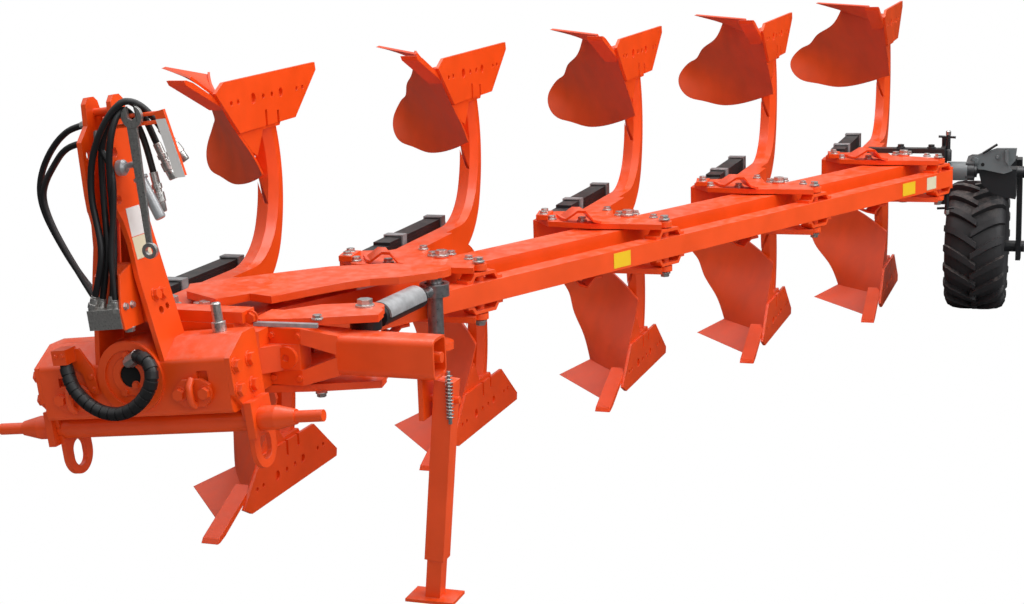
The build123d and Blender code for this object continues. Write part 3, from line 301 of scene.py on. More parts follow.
class PloughPaint(bpy.types.PropertyGroup):
    """Colours of the plough."""

    orange: colour("Frame", "Paint of the frame and bodies", (0.85, 0.074, 0.0036))
    board: colour("Moldboards", "Paint of the moldboards and shares", (0.85, 0.070, 0.0032))
    black: colour("Black parts", "Paint of springs and wheel gear", (0.014, 0.015, 0.017))
    grey: colour("Grey casting", "Paint of the wheel arm's casting", (0.13, 0.145, 0.15))
    zinc: colour("Zinc", "Plated bolts and fittings", (0.60, 0.59, 0.57))
    steel: colour("Steel", "Bright pins and rods", (0.42, 0.42, 0.43))
    silver: colour("Silver", "Silver paint of cylinder cover and rim", (0.42, 0.43, 0.44))
    rubber: colour("Tyre", "Tyre rubber", (0.017, 0.017, 0.019))
    hose: colour("Hose", "Rubber of the hoses", (0.010, 0.010, 0.011))
    label: colour("Label", "Blank white label", (0.72, 0.70, 0.68))
    notice: colour("Notice", "Blank cream label", (0.66, 0.60, 0.42))
    yellow: colour("Reflector", "Side reflector", (0.85, 0.52, 0.01))
    # Near-black painted shade for the unlit inside of a bore.
    hollow: colour("Bore", "Dark inside of a bore", (0.004, 0.004, 0.004))
    # Strength of the pale film on upward faces: partly dust, partly painted sheen.
    dust_and_sheen: bpy.props.FloatProperty(
        name="Dust and sheen", description="Strength of the dust on upward faces", default=1.0, min=0.0, max=2.0, subtype="FACTOR"
    )


class PloughSizes(bpy.types.PropertyGroup):
    """Sizes of what repeats on the plough."""

    bolt_head: bpy.props.FloatProperty(
        name="Bolt head", description="Height of a bolt's head as a share of its width", default=0.36, min=0.1, max=1.0
    )
    washer: bpy.props.FloatProperty(
        name="Washer", description="Width of a washer as a share of its bolt's head", default=1.25, min=1.0, max=2.0
    )
    lugs: bpy.props.IntProperty(name="Lugs", description="Lugs on each side of the tyre", default=18, min=6, max=40)
    leaf: length("Leaf", "Thickness of one spring leaf", 0.0112)
    wrap: length("Wrap", "Length of one turn of the loop hose's guard", 0.024)
    wrap_gap: length("Wrap gap", "Bare hose between two turns", 0.0035)


# ------------------------------------------------------------------ making meshes
ROUND_ANGLE = radians(38)


class Shell:
    """Collects closed solids in one mesh."""

    def __init__(self):
        self.points = []
        self.faces = []

    def prism(self, outline, way):
        """Solid between a flat outline and its copy moved by way."""
        count, first = len(outline), len(self.points)
        self.points += [Vector(p) for p in outline] + [Vector(p) + Vector(way) for p in outline]
        self.faces.append([first + i for i in range(count)])
        self.faces.append([first + count + i for i in reversed(range(count))])
        for i in range(count):
            j = (i + 1) % count
            self.faces.append([first + i, first + j, first + count + j, first + count + i])
        return self

    def rings(self, rows, closed=False):
        """Solid through rows of points, capped at both ends or joined end to end."""
        count, first = len(rows[0]), len(self.points)
        for row in rows:
            self.points += [Vector(p) for p in row]
        turns = len(rows) if closed else len(rows) - 1
        for k in range(turns):
            a, b = first + k * count, first + (k + 1) % len(rows) * count
            for i in range(count):
                j = (i + 1) % count
                self.faces.append([a + i, a + j, b + j, b + i])
        if not closed:
            self.faces.append([first + i for i in range(count)])
            self.faces.append([first + (len(rows) - 1) * count + i for i in range(count)])
        return self

    def tube(self, points, radius, sides=16):
        """Round bar through the points, of one radius or one for each point."""
        points = [Vector(p) for p in points]
        radii = radius if isinstance(radius, (list, tuple)) else [radius] * len(points)
        side = None
        rows = []
        for i, point in enumerate(points):
            way = points[min(i + 1, len(points) - 1)] - points[max(i - 1, 0)]
            way.normalize()
            if side is None:
                side = way.orthogonal()
            side = (side - way * side.dot(way)).normalized()
            other = way.cross(side)
            rows.append(
                [point + (side * cos(2 * pi * k / sides) + other * sin(2 * pi * k / sides)) * radii[i] for k in range(sides)]
            )
        return self.rings(rows)

    def turned(self, start, way, profile, sides=24, hollow=False):
        """Solid turned round way: profile holds (distance along it, radius); hollow joins the profile's ends."""
        way = Vector(way).normalized()
        side = way.orthogonal().normalized()
        other = way.cross(side)
        rows = [
            [
                Vector(start) + way * d + (side * cos(2 * pi * k / sides) + other * sin(2 * pi * k / sides)) * r
                for k in range(sides)
            ]
            for d, r in profile
        ]
        return self.rings(rows, closed=hollow)

    def mesh(self, name):
        """Mesh with its faces outwards."""
        mesh = bpy.data.meshes.new(name)
        mesh.from_pydata(self.points, [], self.faces)
        work = bmesh.new()
        work.from_mesh(mesh)
        bmesh.ops.recalc_face_normals(work, faces=work.faces)
        work.to_mesh(mesh)
        work.free()
        return mesh

    def piece(self, name, body, key, slot, replaced=()):
        """Finished object on its body."""
        return settle(name, self.mesh(name), body, key, replaced)


def settle(name, mesh, body, key, replaced=()):
    """Object of that mesh, riding its body, with its finish."""
    for polygon in mesh.polygons:
        polygon.use_smooth = True
    mesh.set_sharp_from_angle(angle=ROUND_ANGLE)
    if not mesh.materials:
        mesh.materials.append(finish(key))
    item = bpy.data.objects.new(name.replace(" ", "_"), mesh)
    bpy.context.scene.collection.objects.link(item)
    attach(item, body)
    if replaced:
        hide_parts(*replaced)
    return item


def smooth_line(points, steps=8):
    """Points along the quadratic spline that its control points give."""
    corners = [Vector(p) for p in points]
    middles = [(a + b) / 2 for a, b in zip(corners[1:-2], corners[2:-1])]
    knots = [corners[0]] + middles + [corners[-1]]
    line = [corners[0]]
    for start, bend, end in zip(knots, corners[1:-1], knots[1:]):
        for i in range(1, steps + 1):
            t = i / steps
            line.append(start * (1 - t) ** 2 + bend * (2 * t * (1 - t)) + end * t**2)
    return line


# ------------------------------------------------------------------ geometry trees
def new_tree(name, sockets):
    """Geometry tree with named inputs and one output."""
    tree = bpy.data.node_groups.new(name, "GeometryNodeTree")
    tree.interface.new_socket("Geometry", in_out="INPUT", socket_type="NodeSocketGeometry")
    for label, kind in sockets:
        tree.interface.new_socket(label, in_out="INPUT", socket_type=kind)
    tree.interface.new_socket("Geometry", in_out="OUTPUT", socket_type="NodeSocketGeometry")
    return tree, tree.nodes.new("NodeGroupInput")


def add_node(tree, kind, inputs, **settings):
    """Node with its settings made and its inputs linked or set."""
    node = tree.nodes.new(kind)
    for name, value in settings.items():
        setattr(node, name, value)
    for label, value in inputs.items():
        if isinstance(value, bpy.types.NodeSocket):
            tree.links.new(value, node.inputs[label])
        else:
            node.inputs[label].default_value = value
    return node


def end_tree(tree, instances, material):
    """Makes the copies real, gives them their material and ends the tree."""
    real = add_node(tree, "GeometryNodeRealizeInstances", {"Geometry": instances})
    dressed = add_node(tree, "GeometryNodeSetMaterial", {"Geometry": real.outputs[0], "Material": material})
    tree.links.new(dressed.outputs[0], tree.nodes.new("NodeGroupOutput").inputs[0])


def bolt_tree():
    """Hexagon head on a washer at every point, turned to "way" and scaled to "width"."""
    tree, given = new_tree(
        "Hex bolts", [("Head", "NodeSocketFloat"), ("Washer", "NodeSocketFloat"), ("Finish", "NodeSocketMaterial")]
    )
    head = given.outputs["Head"]
    washer_high = 0.08
    hexagon = add_node(tree, "GeometryNodeMeshCylinder", {"Vertices": 6, "Radius": 0.5, "Depth": head})
    lift = add_node(tree, "ShaderNodeCombineXYZ", {"Z": math_node(tree, "MULTIPLY_ADD", head, 0.5)})
    lift.inputs["Z"].links[0].from_node.inputs[2].default_value = washer_high
    raised = add_node(
        tree, "GeometryNodeTransform", {"Geometry": hexagon.outputs["Mesh"], "Translation": lift.outputs[0]}
    )
    wide = math_node(tree, "MULTIPLY", given.outputs["Washer"], 0.5)
    disc = add_node(tree, "GeometryNodeMeshCylinder", {"Vertices": 20, "Radius": wide, "Depth": 2 * washer_high})
    both = tree.nodes.new("GeometryNodeJoinGeometry")
    tree.links.new(raised.outputs[0], both.inputs[0])
    tree.links.new(disc.outputs["Mesh"], both.inputs[0])
    way = add_node(tree, "GeometryNodeInputNamedAttribute", {"Name": "way"}, data_type="FLOAT_VECTOR")
    width = add_node(tree, "GeometryNodeInputNamedAttribute", {"Name": "width"}, data_type="FLOAT")
    turn = add_node(tree, "FunctionNodeAlignRotationToVector", {"Vector": way.outputs[0]}, axis="Z")
    copies = add_node(
        tree,
        "GeometryNodeInstanceOnPoints",
        {
            "Points": given.outputs["Geometry"],
            "Instance": both.outputs[0],
            "Rotation": turn.outputs[0],
            "Scale": width.outputs[0],
        },
    )
    end_tree(tree, copies.outputs[0], given.outputs["Finish"])
    return tree


def round_tree():
    """Copies of the given mesh turned round an axis along Y through a middle."""
    tree, given = new_tree(
        "Copies round an axle",
        [("Count", "NodeSocketInt"), ("Middle", "NodeSocketVector"), ("Finish", "NodeSocketMaterial")],
    )
    single = add_node(tree, "GeometryNodeGeometryToInstance", {"Geometry": given.outputs["Geometry"]})
    many = add_node(
        tree,
        "GeometryNodeDuplicateElements",
        {"Geometry": single.outputs[0], "Amount": given.outputs["Count"]},
        domain="INSTANCE",
    )
    share = math_node(tree, "DIVIDE", many.outputs["Duplicate Index"], None)
    tree.links.new(given.outputs["Count"], share.node.inputs[1])
    angle = add_node(tree, "ShaderNodeCombineXYZ", {"Y": math_node(tree, "MULTIPLY", share, 2 * pi)})
    turned = add_node(
        tree,
        "GeometryNodeRotateInstances",
        {
            "Instances": many.outputs["Geometry"],
            "Rotation": angle.outputs[0],
            "Pivot Point": given.outputs["Middle"],
            "Local Space": False,
        },
    )
    end_tree(tree, turned.outputs[0], given.outputs["Finish"])
    return tree


def wrap_tree():
    """Short sleeves in a row along the given line."""
    tree, given = new_tree(
        "Sleeves along a line",
        [
            ("Radius", "NodeSocketFloat"),
            ("Sleeve", "NodeSocketFloat"),
            ("Gap", "NodeSocketFloat"),
            ("Finish", "NodeSocketMaterial"),
        ],
    )
    line = add_node(tree, "GeometryNodeMeshToCurve", {"Mesh": given.outputs["Geometry"]})
    step = math_node(tree, "ADD", given.outputs["Sleeve"], None)
    tree.links.new(given.outputs["Gap"], step.node.inputs[1])
    even = add_node(tree, "GeometryNodeResampleCurve", {"Curve": line.outputs[0], "Length": step}, mode="LENGTH")
    tangent = tree.nodes.new("GeometryNodeInputTangent")
    turn = add_node(tree, "FunctionNodeAlignRotationToVector", {"Vector": tangent.outputs[0]}, axis="Z")
    sleeve = add_node(
        tree,
        "GeometryNodeMeshCylinder",
        {"Vertices": 28, "Radius": given.outputs["Radius"], "Depth": given.outputs["Sleeve"]},
    )
    copies = add_node(
        tree,
        "GeometryNodeInstanceOnPoints",
        {"Points": even.outputs[0], "Instance": sleeve.outputs["Mesh"], "Rotation": turn.outputs[0]},
    )
    end_tree(tree, copies.outputs[0], given.outputs["Finish"])
    return tree


trees = {}
TREE_MAKERS = {"bolts": bolt_tree, "round": round_tree, "wrap": wrap_tree}


def grown(name, mesh, tree_name, values):
    """Plain mesh that the tree makes from the given one."""
    if tree_name not in trees:
        trees[tree_name] = TREE_MAKERS[tree_name]()
    tree = trees[tree_name]
    source = bpy.data.objects.new(name + " source", mesh)
    bpy.context.scene.collection.objects.link(source)
    modifier = source.modifiers.new("grow", "NODES")
    modifier.node_group = tree
    for item in tree.interface.items_tree:
        if item.item_type == "SOCKET" and item.in_out == "INPUT" and item.name in values:
            modifier[item.identifier] = values[item.name]
    source.data.update()
    bpy.context.view_layer.update()
    result = bpy.data.meshes.new_from_object(source.evaluated_get(bpy.context.evaluated_depsgraph_get()))
    source.modifiers.remove(modifier)
    bpy.data.objects.remove(source)
    result.name = name
    return result


def bolts(name, body, spots, key="zinc"):
    """Bolts of one body: spots holds (place, way, width across the corners)."""
    sizes = bpy.context.scene.plough_sizes
    mesh = bpy.data.meshes.new(name)
    mesh.from_pydata([p for p, _, _ in spots], [], [])
    mesh.attributes.new("way", "FLOAT_VECTOR", "POINT").data.foreach_set(
        "vector", [c for _, way, _ in spots for c in Vector(way)]
    )
    mesh.attributes.new("width", "FLOAT", "POINT").data.foreach_set("value", [w for _, _, w in spots])
    values = {"Head": sizes.bolt_head, "Washer": sizes.washer, "Finish": finish(key)}
    return settle(name, grown(name, mesh, "bolts", values), body, key)


def finish_nodes():
    """Gives every carried-over node the finish of its record slot."""
    slots = {p["node"]: p["material_slot"] for p in frame["record"]["subparts"]}
    for node, item in frame["nodes"].items():
        key = SLOT_FINISHES[slots[node]]
        if node.startswith(("moldboards", "shares")):
            key = "board"
        if node in ("valve_block",):
            key = "zinc"
        for spot in item.material_slots:
            spot.material = finish(key)


# ------------------------------------------------------------------ stage
CAMERA_AT = (4.56023909, 2.79166141, 1.31261271)
CAMERA_RIGHT = Vector((-0.32313769, 0.94581201, -0.03196376))
CAMERA_DOWN = Vector((0.21669101, 0.04106984, -0.97537597))
CAMERA_AHEAD = Vector((-0.92120955, -0.322107, -0.21822017))
SENSOR_MM = 36.0
LENS_MM = 60.19
LAMPS = [
    ("overhead", (0.5, 0.5, 7.0), 6.0, 360.0),
    ("front left", (7.5, 5.0, 4.5), 4.0, 130.0),
    ("left", (0.5, 7.5, 5.5), 5.0, 420.0),
]


def add_camera():
    """Camera at standing height off the front left of the plough."""
    data = bpy.data.cameras.new("camera")
    data.sensor_width = SENSOR_MM
    data.lens = LENS_MM
    camera = bpy.data.objects.new("camera", data)
    bpy.context.collection.objects.link(camera)
    turn = Matrix((CAMERA_RIGHT, -CAMERA_DOWN, -CAMERA_AHEAD)).transposed()
    camera.matrix_world = Matrix.Translation(place(*CAMERA_AT)) @ turn.to_4x4()
    bpy.context.scene.camera = camera


def add_lamp(name, at, size, watts):
    """Square soft lamp aimed at the plough's middle."""
    data = bpy.data.lights.new(name, "AREA")
    data.shape = "SQUARE"
    data.size = size
    data.energy = watts
    lamp = bpy.data.objects.new(name, data)
    bpy.context.collection.objects.link(lamp)
    lamp.location = at
    lamp.rotation_euler = (Vector((0, 0, 0.6)) - Vector(at)).to_track_quat("-Z", "Y").to_euler()


def add_world(ambient, sky):
    """White behind the plough; its own light is brighter from above, most of all in reflections."""
    world = bpy.data.worlds.new("plain light")
    bpy.context.scene.world = world
    world.use_nodes = True
    tree = world.node_tree
    background = tree.nodes["Background"]
    path = tree.nodes.new("ShaderNodeLightPath")
    where = tree.nodes.new("ShaderNodeTexCoord")
    parts = tree.nodes.new("ShaderNodeSeparateXYZ")
    tree.links.new(where.outputs["Generated"], parts.inputs[0])
    above = ramp(tree, parts.outputs["Z"], 0.05, 0.85)
    background.inputs["Color"].default_value = (1, 1, 1, 1)
    shine = math_node(tree, "MULTIPLY", math_node(tree, "MULTIPLY", above, path.outputs["Is Glossy Ray"]), sky)
    spread = math_node(tree, "MULTIPLY", math_node(tree, "ADD", above, 0.25), ambient)
    spread = math_node(tree, "MULTIPLY", spread, math_node(tree, "SUBTRACT", 1.0, path.outputs["Is Glossy Ray"]))
    strength = math_node(tree, "MAXIMUM", path.outputs["Is Camera Ray"], math_node(tree, "ADD", spread, shine))
    tree.links.new(strength, background.inputs["Strength"])


def add_floor(size=80.0):
    """Floor that the camera sees as plain white, that lights the plough from below and hardly shows in it."""
    bpy.ops.mesh.primitive_plane_add(size=size, location=(0, 0, 0))
    floor = bpy.context.object
    floor.name = "floor"
    material = bpy.data.materials.new("floor")
    material.use_nodes = True
    tree = material.node_tree
    shader = tree.nodes["Principled BSDF"]
    path = tree.nodes.new("ShaderNodeLightPath")
    shade = mix_colour(tree, path.outputs["Is Glossy Ray"], (0.55, 0.55, 0.55, 1), (0.06, 0.06, 0.06, 1))
    tree.links.new(shade, shader.inputs["Base Color"])
    shader.inputs["Roughness"].default_value = 0.9
    shader.inputs["Specular IOR Level"].default_value = 0.0
    glow = tree.nodes.new("ShaderNodeEmission")
    mix = tree.nodes.new("ShaderNodeMixShader")
    tree.links.new(path.outputs["Is Camera Ray"], mix.inputs[0])
    tree.links.new(shader.outputs[0], mix.inputs[1])
    tree.links.new(glow.outputs[0], mix.inputs[2])
    tree.links.new(mix.outputs[0], tree.nodes["Material Output"].inputs["Surface"])
    floor.data.materials.append(material)


# ------------------------------------------------------------------ hoses
# Points that each hose is drawn by, on the headstock.
COUPLING_HOSE_1 = [
    (0.286, -0.034, 0.262), (0.284, 0.004, 0.35), (0.276, 0.014, 0.412), (0.262, 0.002, 0.48),
    (0.256, -0.006, 0.555), (0.254, 0.008, 0.638), (0.252, 0.032, 0.7), (0.248, 0.07, 0.76), (0.238, 0.11, 0.806),
    (0.224, 0.146, 0.826), (0.202, 0.178, 0.808), (0.178, 0.202, 0.762), (0.16, 0.214, 0.72),
]
COUPLING_HOSE_2 = [
    (0.264, -0.024, 0.25), (0.262, 0.01, 0.352), (0.25, 0.02, 0.432), (0.238, 0.02, 0.51), (0.232, 0.026, 0.596),
    (0.232, 0.038, 0.684), (0.23, 0.066, 0.75), (0.226, 0.098, 0.8), (0.208, 0.132, 0.828), (0.184, 0.16, 0.804),
    (0.167, 0.168, 0.758), (0.152, 0.172, 0.712), (0.143, 0.178, 0.676),
]
COUPLING_HOSE_3 = [
    (0.268, 0.014, 0.254), (0.258, 0.031, 0.345), (0.24, 0.036, 0.425), (0.244, 0.052, 0.51), (0.252, 0.064, 0.592),
    (0.254, 0.076, 0.668), (0.25, 0.094, 0.734), (0.232, 0.112, 0.786), (0.206, 0.124, 0.802), (0.18, 0.134, 0.776),
    (0.162, 0.14, 0.728), (0.154, 0.145, 0.68), (0.15, 0.15, 0.618), (0.148, 0.151, 0.592),
]
WEB_HOSE = [
    (0.286, 0.034, 0.246), (0.28, 0.036, 0.352), (0.268, 0.046, 0.424), (0.258, 0.06, 0.5), (0.252, 0.072, 0.566),
    (0.246, 0.074, 0.625), (0.24, 0.058, 0.672), (0.226, 0.028, 0.704), (0.204, 0.014, 0.728), (0.18, 0, 0.738),
]
LEFT_HOSE_1 = [
    (0.1, -0.054, 0.764), (0.088, -0.132, 0.758), (0.082, -0.188, 0.734), (0.08, -0.24, 0.69), (0.08, -0.284, 0.63),
    (0.082, -0.304, 0.566), (0.086, -0.294, 0.496), (0.096, -0.252, 0.408), (0.11, -0.206, 0.334),
    (0.124, -0.16, 0.276), (0.132, -0.128, 0.24),
]
LEFT_HOSE_2 = [
    (0.118, -0.055, 0.712), (0.098, -0.136, 0.706), (0.088, -0.188, 0.688), (0.086, -0.226, 0.652),
    (0.098, -0.262, 0.604), (0.102, -0.282, 0.552), (0.104, -0.266, 0.47), (0.112, -0.226, 0.384),
    (0.124, -0.184, 0.314), (0.136, -0.15, 0.262), (0.146, -0.124, 0.226),
]
LOOP_HOSE = [
    (0.252, -0.2, 0.074), (0.262, -0.194, 0.034), (0.276, -0.174, -0.012), (0.284, -0.132, -0.056),
    (0.29, -0.084, -0.084), (0.292, -0.03, -0.096), (0.292, 0.024, -0.086), (0.288, 0.072, -0.054),
    (0.282, 0.104, -0.01), (0.274, 0.108, 0.036), (0.262, 0.084, 0.064), (0.246, 0.05, 0.07), (0.238, 0.024, 0.058),
]

HOSE_WIDE = 0.020
LOOP_WIDE = 0.038
COUPLING_ENDS = [
    ((0.160, 0.214, 0.720), (0.140, 0.262, 0.626)),
    ((0.143, 0.178, 0.676), (0.138, 0.208, 0.575)),
    ((0.148, 0.151, 0.592), (0.148, 0.161, 0.482)),
]
# Outline of a coupling as shares of its length, with radii in metres.
COUPLING_SHAPE = [
    (-0.1, 0.0125), (0.22, 0.0125), (0.225, 0.0155), (0.36, 0.0155), (0.365, 0.012), (0.46, 0.012), (0.465, 0.0165),
    (0.72, 0.0165), (0.73, 0.0135), (0.97, 0.0125), (1.0, 0.010),
]
FITTING_SHAPE = [
    (-0.006, 0.0128), (0.018, 0.0128), (0.0185, 0.0165), (0.034, 0.0165), (0.0345, 0.0125), (0.042, 0.0125),
]


def add_hose(name, points, wide, replaced):
    """Hose along its points."""
    data = bpy.data.curves.new(name, "CURVE")
    data.dimensions = "3D"
    spline = data.splines.new("NURBS")
    spline.points.add(len(points) - 1)
    for spot, point in zip(spline.points, points):
        spot.co = (*on_head(*point), 1)
    spline.order_u = 3
    spline.use_endpoint_u = True
    spline.resolution_u = 6
    data.bevel_depth = wide / 2
    data.bevel_resolution = 4
    data.use_fill_caps = True
    data.materials.append(finish("hose"))
    hose = bpy.data.objects.new(name.replace(" ", "_"), data)
    bpy.context.scene.collection.objects.link(hose)
    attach(hose, "headstock")
    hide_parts(replaced)
    return hose


def add_coupling(index):
    """Quick coupling on a hose's end."""
    start, end = (on_head(*p) for p in COUPLING_ENDS[index])
    run = end - start
    shape = [(share * run.length, r) for share, r in COUPLING_SHAPE]
    return Shell().turned(start, run, shape, 18).piece(
        f"coupling {index + 1}", "headstock", "zinc", "steel", ["hose_couplings"]
    )


def add_fitting(name, points):
    """Pressed sleeve and nut at the foot of a hose."""
    start, after = on_head(*points[0]), on_head(*points[1])
    return Shell().turned(start, start - after, FITTING_SHAPE, 6).piece(name, "headstock", "zinc", "steel")


def add_hoses():
    """The headstock's hoses with their couplings and fittings."""
    couplings = [add_coupling(i) for i in range(3)]
    routes = (COUPLING_HOSE_1, COUPLING_HOSE_2, COUPLING_HOSE_3)
    for i, route in enumerate(routes):
        add_hose(f"coupling hose {i + 1}", route, HOSE_WIDE, "tower_hoses")
        add_fitting(f"hose foot {i + 1}", route)
    add_hose("web hose", WEB_HOSE, HOSE_WIDE - 0.002, "tower_hoses")
    add_fitting("hose foot 4", WEB_HOSE)
    for i, route in enumerate((LEFT_HOSE_1, LEFT_HOSE_2)):
        add_hose(f"left hose {i + 1}", route, HOSE_WIDE, "left_hoses")
        top, after = on_head(*route[0]), on_head(*route[1])
        Shell().turned(top, after - top, [(-0.002, 0.017), (0.016, 0.017), (0.0165, 0.0125), (0.05, 0.0125)], 6).piece(
            f"left hose top {i + 1}", "headstock", "zinc", "steel"
        )
    sizes = bpy.context.scene.plough_sizes
    line = [on_head(*p) for p in smooth_line(LOOP_HOSE)][4:-6]
    mesh = bpy.data.meshes.new("loop hose guard")
    mesh.from_pydata(line, [(i, i + 1) for i in range(len(line) - 1)], [])
    values = {"Radius": LOOP_WIDE / 2 + 0.0022, "Sleeve": sizes.wrap, "Gap": sizes.wrap_gap, "Finish": finish("hose")}
    guard = settle("loop hose guard", grown("loop hose guard", mesh, "wrap", values), "headstock", "hose")
    add_hose("loop hose", LOOP_HOSE, LOOP_WIDE, "loop_hose")
    end, before = on_head(*LOOP_HOSE[-1]), on_head(*LOOP_HOSE[-2])
    Shell().turned(end, end - before, [(-0.03, 0.0215), (0.012, 0.0215), (0.0125, 0.016), (0.028, 0.016)], 8).piece(
        "loop hose end", "headstock", "zinc", "steel"
    )


# ------------------------------------------------------------------ depth wheel
WHEEL_MIDDLE = place(-4.785, 2.180, -0.475)
TYRE_OUT = 0.345
# Half of the tyre's section as (radius, distance from its middle).
TYRE_HALF = [
    (0.317, 0.0), (0.316, 0.06), (0.311, 0.105), (0.300, 0.132), (0.280, 0.146), (0.245, 0.152), (0.210, 0.143),
    (0.178, 0.122), (0.163, 0.108), (0.156, 0.104), (0.1525, 0.096),
]
# Stations of one lug from the tyre's middle out: top and foot as (radius, distance), lag round the tyre, half width.
LUG = [
    (0.345, -0.014, 0.305, -0.014, 0.000, 0.0150),
    (0.345, 0.030, 0.305, 0.030, 0.032, 0.0175),
    (0.344, 0.075, 0.303, 0.075, 0.062, 0.0190),
    (0.339, 0.112, 0.297, 0.106, 0.082, 0.0200),
    (0.325, 0.140, 0.285, 0.126, 0.094, 0.0200),
    (0.298, 0.154, 0.272, 0.134, 0.101, 0.0185),
    (0.268, 0.154, 0.256, 0.138, 0.105, 0.0150),
]


def round_wheel(radius, across, angle):
    """Point on the wheel, across from its middle and round it from its front."""
    return WHEEL_MIDDLE + Vector((radius * cos(angle), across, radius * sin(angle)))


def add_lug(shell, side, start):
    """One curved lug of the tyre's tread."""
    rows = []
    for top_r, top_a, foot_r, foot_a, lag, half in LUG:
        row = []
        for radius, across, wide in ((top_r, top_a, -half), (top_r, top_a, half), (foot_r, foot_a, half + 0.006),
                                     (foot_r, foot_a, -half - 0.006)):
            row.append(round_wheel(radius, side * across, start + (lag + wide) / TYRE_OUT))
        rows.append(row)
    shell.rings(rows)


def add_tyre():
    """Carcass with chevron lugs all round."""
    sizes = bpy.context.scene.plough_sizes
    pitch = 2 * pi / sizes.lugs
    pair = Shell()
    add_lug(pair, 1, 0.0)
    add_lug(pair, -1, pitch / 2)
    values = {"Count": sizes.lugs, "Middle": WHEEL_MIDDLE, "Finish": finish("rubber")}
    settle("tyre tread", grown("tyre tread", pair.mesh("lug pair"), "round", values), "depth_wheel", "rubber")
    section = [(-a, r) for r, a in reversed(TYRE_HALF)] + [(a, r) for r, a in TYRE_HALF[1:]]
    Shell().turned(WHEEL_MIDDLE, (0, 1, 0), section, 96, hollow=True).piece(
        "tyre carcass", "depth_wheel", "rubber", "tyre", ["tyre"]
    )
    spots = []
    for i in range(6):
        angle = 2 * pi * i / 6
        spots.append((round_wheel(0.105, 0.005, angle), (0, 1, 0), 0.030))
        spots.append((round_wheel(0.105, -0.013, angle), (0, -1, 0), 0.030))
    bolts("wheel nuts", "depth_wheel", spots)
    Shell().turned(WHEEL_MIDDLE, (0, -1, 0), [(0.01, 0.052), (0.075, 0.050), (0.082, 0.044), (0.082, 0.005)]).piece(
        "hub cap", "depth_wheel", "black", "black_paint"
    )


# ------------------------------------------------------------------ leaf springs
SPRING_SPAN = (-0.354, -0.284)
SPRING_REAR = -1.170
LEAF_FRONTS = [-0.335, -0.335, -0.335, -0.335, -0.345, -0.450, -0.560]
LEAF_REARS = [-1.176, -1.170, -1.170, -1.170, -1.168, -1.160, -1.150]
SPRING_INNER = 0.008
LEAF_GAP = 0.0008


def box_shell(shell, low, high):
    """Upright box between two corners given as points from place()."""
    (x0, y0, z0), (x1, y1, z1) = low, high
    shell.prism([(x0, y0, z0), (x1, y0, z0), (x1, y1, z0), (x0, y1, z0)], (0, 0, z1 - z0))


def add_springs():
    """Stacked leaves above and below each leg's arm, with the clip at their rear end."""
    leaf = bpy.context.scene.plough_sizes.leaf
    for index in range(5):
        leaves, clips = Shell(), Shell()
        for side in (1, -1):
            for k, (front, rear) in enumerate(zip(LEAF_FRONTS, LEAF_REARS)):
                low = SPRING_INNER + k * (leaf + LEAF_GAP)
                z0, z1 = sorted((side * low, side * (low + leaf)))
                box_shell(
                    leaves, on_bottom(index, rear, SPRING_SPAN[0], z0), on_bottom(index, front, SPRING_SPAN[1], z1)
                )
            top = SPRING_INNER + 7 * (leaf + LEAF_GAP) + 0.002
            for x in (-1.128, -0.700):
                for (ya, yb), (za, zb) in (
                    ((SPRING_SPAN[0] - 0.006, SPRING_SPAN[1] + 0.006), (top, top + 0.006)),
                    ((SPRING_SPAN[0] - 0.006, SPRING_SPAN[0]), (0.004, top)),
                    ((SPRING_SPAN[1], SPRING_SPAN[1] + 0.006), (0.004, top)),
                ):
                    z0, z1 = sorted((side * za, side * zb))
                    box_shell(clips, on_bottom(index, x - 0.022, ya, z0), on_bottom(index, x + 0.022, yb, z1))
        leaves.piece(f"spring leaves {index + 1}", f"bottom_{index + 1}", "black", "black_paint",
                     [f"leaf_springs_{index + 1}"])
        clips.piece(f"spring clips {index + 1}", f"bottom_{index + 1}", "silver", "silver")


# ------------------------------------------------------------------ bolts
PLATE_TOP = 0.105
BRACKET_BOLTS = [
    (-0.142, -0.241, 0.034), (-0.128, -0.106, 0.034), (-0.282, 0.009, 0.034), (-0.316, 0.068, 0.030),
    (-0.243, 0.164, 0.030), (-0.395, -0.075, 0.030),
]
LEG_PIN = (0.258, -0.0675)
LINK_PIN = (0.258, 0.1275)


def add_bracket_bolts():
    """Bolts and pin heads above and below each leg's bracket."""
    for index in range(5):
        spots = []
        for side in (1, -1):
            way = (0, 0, side)
            for x, y, wide in BRACKET_BOLTS:
                spots.append((on_bottom(index, x, y, side * PLATE_TOP), way, wide))
            for (s, o), wide in ((LEG_PIN, 0.046), (LINK_PIN, 0.036)):
                spots.append((on_beam(s, o, side * (PLATE_TOP + 0.005)) + BODY_STEP * index, way, wide))
        bolts(f"bracket bolts {index + 1}", f"bottom_{index + 1}", spots)


HEAD_FACE = 0.221
PLATE_FACE = 0.341
CHEEK_SLOPE = 0.06 / 0.40


def cheek_face(x, z):
    """Point on the outer face of the tower's left side plate."""
    return on_head(x, 0.052 + max(0.0, 0.5 - z) * CHEEK_SLOPE, z)


CHEEK_WAY = head_way(0, 1, CHEEK_SLOPE).normalized()


STRAP_LINE = [
    (-0.160, -0.214, 0.105), (-0.140, -0.190, 0.106), (-0.110, -0.130, 0.146), (-0.088, -0.090, 0.150),
    (-0.096, -0.060, 0.112), (-0.104, -0.030, 0.105),
]
STRAP_HALF = 0.052
STRAP_THICK = 0.010


